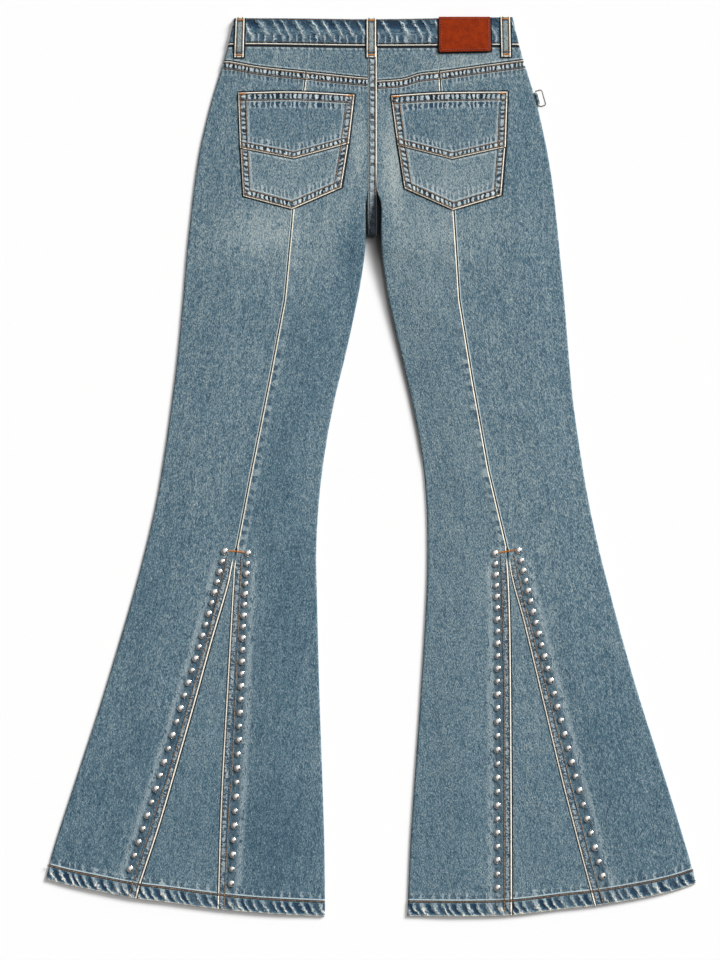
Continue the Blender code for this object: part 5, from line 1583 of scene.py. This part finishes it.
# %% Stitch the pockets
SIDE_ROWS = (2.0, 8.8)
VEE_ROWS = (1.9, 7.4)
MOUTH_ROW = 9.8
MOUTH_FINE_ROW = 2.0
MOUTH_ROW_IN = 1.6
pocket_rows = bmesh.new()
for table, mouth, vee, end in (
    (POCKET_SIDES_LEFT, POCKET_MOUTH_LEFT, POCKET_V_LEFT, POCKET_END_LEFT),
    (POCKET_SIDES_RIGHT, POCKET_MOUTH_RIGHT, POCKET_V_RIGHT, POCKET_END_RIGHT),
):
    left, right = kinked(table, 1), kinked(table, 2)
    mouth_line, vee_line, end_line = line(mouth), kinked(vee), kinked(end)
    for offset in SIDE_ROWS:
        inset = offset * MM / UNIT
        top_y = float(mouth_line(left(100.0) + inset)) + (1.0 if offset < 5.0 else 8.0)
        for side, direction in ((left, 1.0), (right, -1.0)):
            foot_y = float(end_line(side(190.0) + direction * inset)) - inset
            inwards = direction * (offset + POCKET_STEP / MM * 0.5)
            sew(pocket_rows, *along_side(side, top_y, foot_y, inwards), TOPSTITCH)
        low_x, high_x = float(left(196.0)) + inset, float(right(188.0)) - inset
        sew(pocket_rows, *along_line(end_line, low_x, high_x, -offset), TOPSTITCH)
    for offset in VEE_ROWS:
        y = float(vee_line(left(147.0)))
        low_x, high_x = float(left(y)) + 1.0, float(right(y)) - 1.0
        sew(pocket_rows, *along_line(vee_line, low_x, high_x, -offset), TOPSTITCH)
    for y, offset, thread in ((100.0, MOUTH_ROW, TOPSTITCH), (94.0, MOUTH_FINE_ROW, FINE_STITCH)):
        low_x, high_x = float(left(y)) + MOUTH_ROW_IN, float(right(y)) - MOUTH_ROW_IN
        sew(pocket_rows, *along_line(mouth_line, low_x, high_x, offset), thread)
sewn_piece("stitches_pockets", pocket_rows, brown_thread)

# %% Stitch the waistband and the loops
LOOP_ROW = 2.4
loop_rows = bmesh.new()
for start, end in ((247.5, 364.5), (378.5, 436.5), (492.5, 498.0)):
    sew(loop_rows, *along_line(waist_top, start, end, 2.0), TOPSTITCH)
for start, end in ((229.0, 233.0), (246.5, 365.0), (378.5, 437.0), (492.0, 499.0), (513.0, 518.0)):
    sew(fine_rows, *along_line(waist_bottom, start, end, -3.2), FINE_STITCH)
for _, table in BELT_LOOPS:
    for column, inwards in ((1, LOOP_ROW), (2, -LOOP_ROW)):
        low, high = table[0][0] + 3.0, table[-1][0] - 4.0
        sew(loop_rows, *along_side(kinked(table, column), low, high, inwards), FINE_STITCH)
sewn_piece("stitches_waist", loop_rows, brown_thread)
sewn_piece("stitches_fine", fine_rows, dark_and_shaded_thread)

# %% Bar tacks and the patch's own thread
TACKS = (
    ((228.8, 550.7), (244.2, 552.1)), ((498.4, 552.5), (514.9, 550.0)),
    ((239.4, 94.2), (246.0, 94.2)), ((346.0, 96.4), (353.4, 96.2)),
    ((392.0, 97.2), (399.4, 97.0)), ((499.6, 94.0), (506.0, 93.6)),
    ((236.2, 55.7), (242.4, 55.7)), ((368.2, 55.6), (375.0, 55.6)), ((502.8, 55.0), (509.6, 55.0)),
    ((237.4, 20.6), (244.0, 20.6)), ((368.2, 21.2), (375.0, 21.2)), ((501.8, 19.6), (508.8, 19.6)),
)
tack_rows = bmesh.new()
for start, end in TACKS:
    sew(tack_rows, (start[0], end[0]), (start[1], end[1]), TACK, across=True)
sewn_piece("bar_tacks", tack_rows, tack_thread)
patch_rows = bmesh.new()
sew(patch_rows, (441.0, 487.6), (19.6, 19.6), FINE_STITCH)
sew(patch_rows, (441.2, 488.0), (50.8, 49.8), FINE_STITCH)
sew(patch_rows, (440.6, 440.8), (20.8, 49.8), FINE_STITCH)
sew(patch_rows, (488.0, 488.4), (20.8, 48.8), FINE_STITCH)
sewn_piece("stitches_patch", patch_rows, rust_thread)

# %% [markdown]
# ## Studs
# The studs are polished domes pressed through the denim, 27 in a row, of two sizes in turn. One dome is
# spun from a short profile, and a row places it 27 times as one joined mesh, tilted with the cloth.

# %% Metal materials
def metal(name, colour, roughness, scuff):
    """Plated metal with faint scuffs, which only change how sharply it reflects."""
    material = bpy.data.materials.new(name)
    material.use_nodes = True
    tree = material.node_tree
    shader = tree.nodes["Principled BSDF"]
    shader.inputs["Metallic"].default_value = 1.0
    spot = put(tree, "ShaderNodeTexCoord").outputs["Object"]
    marks = put(tree, "ShaderNodeTexNoise", {"Vector": spot, "Scale": 700.0, "Detail": 3.0}).outputs[0]
    tarnish = put(tree, "ShaderNodeTexNoise", {"Vector": spot, "Scale": 90.0, "Detail": 2.0}).outputs[0]
    dull = tuple(0.8 * part for part in colour[:3]) + (1.0,)
    tree.links.new(mixed(tree, ramp(tree, tarnish, 0.4, 0.7), colour, dull), shader.inputs["Base Color"])
    tree.links.new(ramp(tree, marks, 0.35, 0.7, roughness, roughness + scuff), shader.inputs["Roughness"])
    return material


stud_metal = metal("stud_nickel", (0.95, 0.93, 0.90, 1.0), 0.13, 0.06)
ring_metal = metal("ring_nickel", (0.16, 0.155, 0.15, 1.0), 0.34, 0.16)
button_metal = metal("button_nickel", (0.50, 0.48, 0.45, 1.0), 0.35, 0.15)
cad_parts["waist_button"].data.materials.clear()
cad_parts["waist_button"].data.materials.append(button_metal)
print("materials so far:", len(bpy.data.materials))

# %% Spin one dome and place the rows
STUD_COUNT = 27
STUD_RADII = (4.6, 3.95)
STUD_HEIGHT = 2.8
SMALL_STUD_HEIGHT = 0.88 * STUD_HEIGHT
STUD_PROFILE = ((1.0, -0.10), (0.985, 0.17), (0.93, 0.37), (0.82, 0.57), (0.66, 0.75), (0.46, 0.89),
                (0.24, 0.97), (0.0, 1.0))
STUD_SIDES = 20


def spun_dome():
    """A dome of radius 1 and height 1: a profile turned all round."""
    dome = bmesh.new()
    points = [dome.verts.new((out, 0.0, up)) for out, up in STUD_PROFILE]
    edges = [dome.edges.new(pair) for pair in zip(points, points[1:])]
    bmesh.ops.spin(dome, geom=points + edges, cent=(0, 0, 0), axis=(0, 0, 1), angle=2.0 * math.pi,
                   steps=STUD_SIDES, use_merge=True)
    bmesh.ops.remove_doubles(dome, verts=dome.verts, dist=1e-5)
    bmesh.ops.recalc_face_normals(dome, faces=dome.faces)
    for face in dome.faces:
        face.smooth = True
    data = bpy.data.meshes.new("dome")
    dome.to_mesh(data)
    dome.free()
    return data


pattern_dome = spun_dome()
for node, table in (
    ("stud_row_left_outer", STUDS_LEFT_OUTER), ("stud_row_left_inner", STUDS_LEFT_INNER),
    ("stud_row_right_inner", STUDS_RIGHT_INNER), ("stud_row_right_outer", STUDS_RIGHT_OUTER),
):
    numbers = np.arange(STUD_COUNT)
    row = bmesh.new()
    for number, x, y in zip(numbers, line(table, 1)(numbers), line(table, 2)(numbers)):
        point, normal = drop(x, y)
        radius = STUD_RADII[number % 2] * MM
        facing = normal.to_track_quat("Z", "Y").to_matrix().to_4x4()
        height = (STUD_HEIGHT, SMALL_STUD_HEIGHT)[number % 2] * MM
        size = Matrix.Diagonal((radius, radius, height, 1.0))
        copy = pattern_dome.copy()
        copy.transform(Matrix.Translation(point) @ facing @ size)
        row.from_mesh(copy)
        bpy.data.meshes.remove(copy)
    data = bpy.data.meshes.new(node + "_domes")
    row.to_mesh(data)
    row.free()
    data.materials.append(stud_metal)
    domes = bpy.data.objects.new(node + "_domes", data)
    bpy.context.scene.collection.objects.link(domes)
    dress(domes, node)
bpy.data.meshes.remove(pattern_dome)
print("studs:", 4 * STUD_COUNT)

# %% [markdown]
# ## Ring and loop at the right hip
# A wire ring with rounded corners hangs in a short denim loop at the side seam, and turns in it. The wire
# is a bevelled curve made a mesh. The loop is a strip rolled into a tube round the ring's straight leg.

# %% Sizes from the start of the loop along the edge, and outwards from it
HIP_START = (533.2, 91.2)
HIP_END = (537.3, 105.8)
RING_WIRE = 0.72
RING_AXIS_OUT = 2.25
RING_FAR_OUT = 10.3
RING_FROM = 0.9
RING_TO = 20.6
RING_CORNER = 1.5
RING_FAR_CORNER = 2.6
RING_LEVEL = 2.1 * MM
LOOP_FROM = 2.2
LOOP_TO = 18.8
LOOP_INSIDE = 0.95
LOOP_OUTSIDE = 1.95
LOOP_TAPER = 0.18
LOOP_TAPER_RUN = 1.2
LOOP_FACE = 4.2
LOOP_GRAIN = 7.7
hip = place(*HIP_START, RING_LEVEL)
along = (place(*HIP_END, RING_LEVEL) - hip).normalized()
outwards = Vector((-along.y, along.x, 0.0))
up = Vector((0.0, 0.0, 1.0))
print("ring, mm:", round(RING_TO - RING_FROM, 1), "x", round(RING_FAR_OUT - RING_AXIS_OUT, 2))


def hip_spot(run, out):
    return hip + run * MM * along + out * MM * outwards


# %% The wire ring
curve = bpy.data.curves.new("ring_path", "CURVE")
curve.dimensions = "3D"
curve.bevel_depth = RING_WIRE * MM
curve.bevel_resolution = 5
wire_points = []
for run, out, radius, quarter in (
    (RING_TO - RING_FAR_CORNER, RING_FAR_OUT - RING_FAR_CORNER, RING_FAR_CORNER, 0.0),
    (RING_FROM + RING_FAR_CORNER, RING_FAR_OUT - RING_FAR_CORNER, RING_FAR_CORNER, 0.5),
    (RING_FROM + RING_CORNER, RING_AXIS_OUT + RING_CORNER, RING_CORNER, 1.0),
    (RING_TO - RING_CORNER, RING_AXIS_OUT + RING_CORNER, RING_CORNER, 1.5),
):
    for step in range(9):
        turn = math.pi * (quarter + step / 16.0)
        wire_points.append(hip_spot(run + radius * math.cos(turn), out + radius * math.sin(turn)))
spline = curve.splines.new("POLY")
spline.points.add(len(wire_points) - 1)
for point, spot in zip(spline.points, wire_points):
    point.co = (*spot, 1.0)
spline.use_cyclic_u = True
path = bpy.data.objects.new("ring_path", curve)
bpy.context.scene.collection.objects.link(path)
wire_mesh = bpy.data.meshes.new_from_object(path.evaluated_get(bpy.context.evaluated_depsgraph_get()))
bpy.data.objects.remove(path)
wire = bpy.data.objects.new("side_ring_wire", wire_mesh)
bpy.context.scene.collection.objects.link(wire)
wire_mesh.materials.clear()
wire_mesh.materials.append(ring_metal)
for polygon in wire_mesh.polygons:
    polygon.use_smooth = True
# The paper inside the real ring is white, so the wire blocks no direct light. A faint shade of it remains.
wire.visible_shadow = False
dress(wire, "side_ring", body="ring")
print("ring faces:", len(wire_mesh.polygons))

# %% The denim loop round it
LOOP_ROUND = 33
LOOP_LONG = 22
turns = np.linspace(-0.5 * math.pi, 1.5 * math.pi, LOOP_ROUND)
lengths = np.linspace(LOOP_FROM, LOOP_TO, LOOP_LONG)
swell = LOOP_OUTSIDE + 0.0 * lengths
for reach in (lengths - LOOP_FROM, LOOP_TO - lengths):
    swell -= LOOP_TAPER * np.exp(-((reach / LOOP_TAPER_RUN) ** 2))
out_part = (swell[:, None] * np.cos(turns)[None, :]) * MM
up_part = (swell[:, None] * np.sin(turns)[None, :]) * MM
middle = np.array([hip_spot(float(run), RING_AXIS_OUT) for run in lengths])[:, None, :]
tube = middle - out_part[..., None] * np.array(outwards) + up_part[..., None] * np.array(up)
from_end = np.minimum(lengths - LOOP_FROM, LOOP_TO - lengths)[:, None] + 0.0 * out_part
across_loop = np.abs(turns - 0.5 * math.pi)[None, :] * LOOP_OUTSIDE + 0.0 * out_part
loop_layers = {
    "from_end": from_end, "beat_end": 0.0 * from_end,
    "from_side": LOOP_FACE - across_loop, "beat_side": 0.0 * from_end,
    "grain": np.stack([across_loop * MM, from_end * MM, 0.0 * from_end + LOOP_GRAIN], axis=2),
    "fade": 0.0 * from_end,
}
hip_loop = grid_object("side_loop_cloth", tube, loop_layers)
hip_loop.data.materials.append(denim_loop)
hip_wall = hip_loop.modifiers.new("wall", "SOLIDIFY")
hip_wall.thickness = (LOOP_OUTSIDE - LOOP_INSIDE) * MM
hip_wall.offset = -1.0
dress(hip_loop, "side_loop")

# %% [markdown]
# ## Floor, light and camera
# The jeans lie on plain near-white paper. A soft low light from the upper right draws the puckers and a
# short shadow to the left and below, and a soft sky, brighter on the light's side, fills the rest. The
# camera looks straight down from almost three metres.

# %% Floor
PAPER = (0.880, 0.880, 0.878, 1.0)
DEEP_SHADE = (0.010, 0.010, 0.010, 1.0)
floor_mesh = bmesh.new()
bmesh.ops.create_grid(floor_mesh, x_segments=1, y_segments=1, size=6.0)
floor_data = bpy.data.meshes.new("floor")
floor_mesh.to_mesh(floor_data)
floor_mesh.free()
floor = bpy.data.objects.new("floor", floor_data)
bpy.context.scene.collection.objects.link(floor)
paper = bpy.data.materials.new("white_paper")
paper.use_nodes = True
paper.node_tree.nodes["Principled BSDF"].inputs["Base Color"].default_value = PAPER
paper.node_tree.nodes["Principled BSDF"].inputs["Roughness"].default_value = 1.0
paper.node_tree.nodes["Principled BSDF"].inputs["Specular IOR Level"].default_value = 0.0
floor_data.materials.append(paper)
print("floor width, m:", round(floor.dimensions.x, 1))

# %% The deep shade that the fork throws on the paper
# The real jeans are full at the fork and keep the light from the paper between the thighs. The part is
# flatter there, so a thin sheet of toned paper lies on the floor: fully dark under the seat seam, and
# fading down along the right leg. The rows are y, how far the shade reaches from the right leg, and how
# deep it is.
SHADE_ROWS = (
    (231, 40.0, 0.975), (236, 32.0, 0.97), (245, 18.5, 0.945), (260, 14.5, 0.90), (280, 11.1, 0.82),
    (300, 8.8, 0.77), (330, 7.1, 0.77), (360, 6.0, 0.74), (400, 4.8, 0.66), (450, 4.2, 0.6),
    (470, 4.0, 0.0),
)
SHADE_TUCK = 2.0
SHADE_FALL = 3.4
SHADE_LEVEL = 0.04 * MM
shade_y, shade_share = np.meshgrid(np.linspace(SHADE_ROWS[0][0], SHADE_ROWS[-1][0], 120),
                                   np.linspace(0.0, 1.0, 40), indexing="ij")
shade_width = right_inner(shade_y) - left_inner(shade_y) + 2.0 * SHADE_TUCK
shade_x = right_inner(shade_y) + SHADE_TUCK - shade_share * shade_width
reach = np.interp(shade_y, [row[0] for row in SHADE_ROWS], [row[1] for row in SHADE_ROWS])
depth = np.interp(shade_y, [row[0] for row in SHADE_ROWS], [row[2] for row in SHADE_ROWS])
from_leg = np.maximum(0.0, right_inner(shade_y) - shade_x)
shade_amount = depth * np.exp(-((from_leg / reach) ** SHADE_FALL))
shade_points = np.stack([(shade_x - SHEET_CENTRE_X) * UNIT, (SHEET_CENTRE_Y - shade_y) * UNIT,
                         0.0 * shade_x + SHADE_LEVEL], axis=2)
shade_sheet = grid_object("fork_shade", shade_points, {"shade": shade_amount})
shaded_paper = bpy.data.materials.new("shaded_paper")
shaded_paper.use_nodes = True
tree = shaded_paper.node_tree
toned = mixed(tree, attribute(tree, "shade"), PAPER, DEEP_SHADE)
tree.links.new(toned, tree.nodes["Principled BSDF"].inputs["Base Color"])
tree.nodes["Principled BSDF"].inputs["Roughness"].default_value = 1.0
tree.nodes["Principled BSDF"].inputs["Specular IOR Level"].default_value = 0.0
shade_sheet.data.materials.append(shaded_paper)
print("shade length, mm:", round((SHADE_ROWS[-1][0] - SHADE_ROWS[0][0]) * UNIT / MM))

# %% Light
KEY_ELEVATION = 26.0
GLOW_ELEVATION = 58.0
KEY_AZIMUTH = 42.0
# A small dark spot of sky, as elevation and azimuth. The domes reflect it as their dark mark.
DARK_GAP = (42.0, -35.0)
KEY_STRENGTH = 4.7
KEY_WIDTH = 18.0
SKY_STRENGTH = 0.93
DIM_SKY = (0.17, 0.17, 0.175, 1.0)
BRIGHT_SKY = (1.0, 0.99, 0.98, 1.0)
DARK_SKY = (0.01, 0.01, 0.01, 1.0)
# The glow and the dark spot start and are full at these cosines from their middles.
GLOW_REACH = (0.3, 1.0)
GAP_REACH = (0.90, 0.97)
sun = bpy.data.lights.new("key", "SUN")
sun.energy = KEY_STRENGTH
sun.angle = math.radians(KEY_WIDTH)
key = bpy.data.objects.new("key", sun)
bpy.context.scene.collection.objects.link(key)


def towards(elevation, azimuth):
    low, turn = math.radians(elevation), math.radians(azimuth)
    return Vector((math.cos(low) * math.cos(turn), math.cos(low) * math.sin(turn), math.sin(low)))


towards_key = towards(KEY_ELEVATION, KEY_AZIMUTH)
towards_glow = towards(GLOW_ELEVATION, KEY_AZIMUTH)
key.rotation_mode = "QUATERNION"
key.rotation_quaternion = towards_key.to_track_quat("Z", "Y")
world = bpy.data.worlds.new("studio")
bpy.context.scene.world = world
world.use_nodes = True
sky = world.node_tree
direction = put(sky, "ShaderNodeTexCoord").outputs["Generated"]
facing_glow = put(sky, "ShaderNodeVectorMath", {0: direction, 1: tuple(towards_glow)},
                  operation="DOT_PRODUCT").outputs["Value"]
lit_sky = mixed(sky, ramp(sky, facing_glow, *GLOW_REACH), DIM_SKY, BRIGHT_SKY)
facing_gap = put(sky, "ShaderNodeVectorMath", {0: direction, 1: tuple(towards(*DARK_GAP))},
                 operation="DOT_PRODUCT").outputs["Value"]
glow = mixed(sky, ramp(sky, facing_gap, *GAP_REACH), lit_sky, DARK_SKY)
sky.links.new(glow, sky.nodes["Background"].inputs["Color"])
sky.nodes["Background"].inputs["Strength"].default_value = SKY_STRENGTH
bpy.context.scene.view_settings.view_transform = "Standard"
print("light from:", [round(part, 2) for part in towards_key])

# %% Camera
CAMERA_LENS = 90.0
CAMERA_HEIGHT = 2.935
VIEW_MIDDLE = (360.0, 480.0)
camera_data = bpy.data.cameras.new("camera")
camera_data.lens = CAMERA_LENS
camera = bpy.data.objects.new("camera", camera_data)
camera.location = place(*VIEW_MIDDLE, CAMERA_HEIGHT)
bpy.context.scene.collection.objects.link(camera)
bpy.context.scene.camera = camera
print("camera height, m:", CAMERA_HEIGHT)
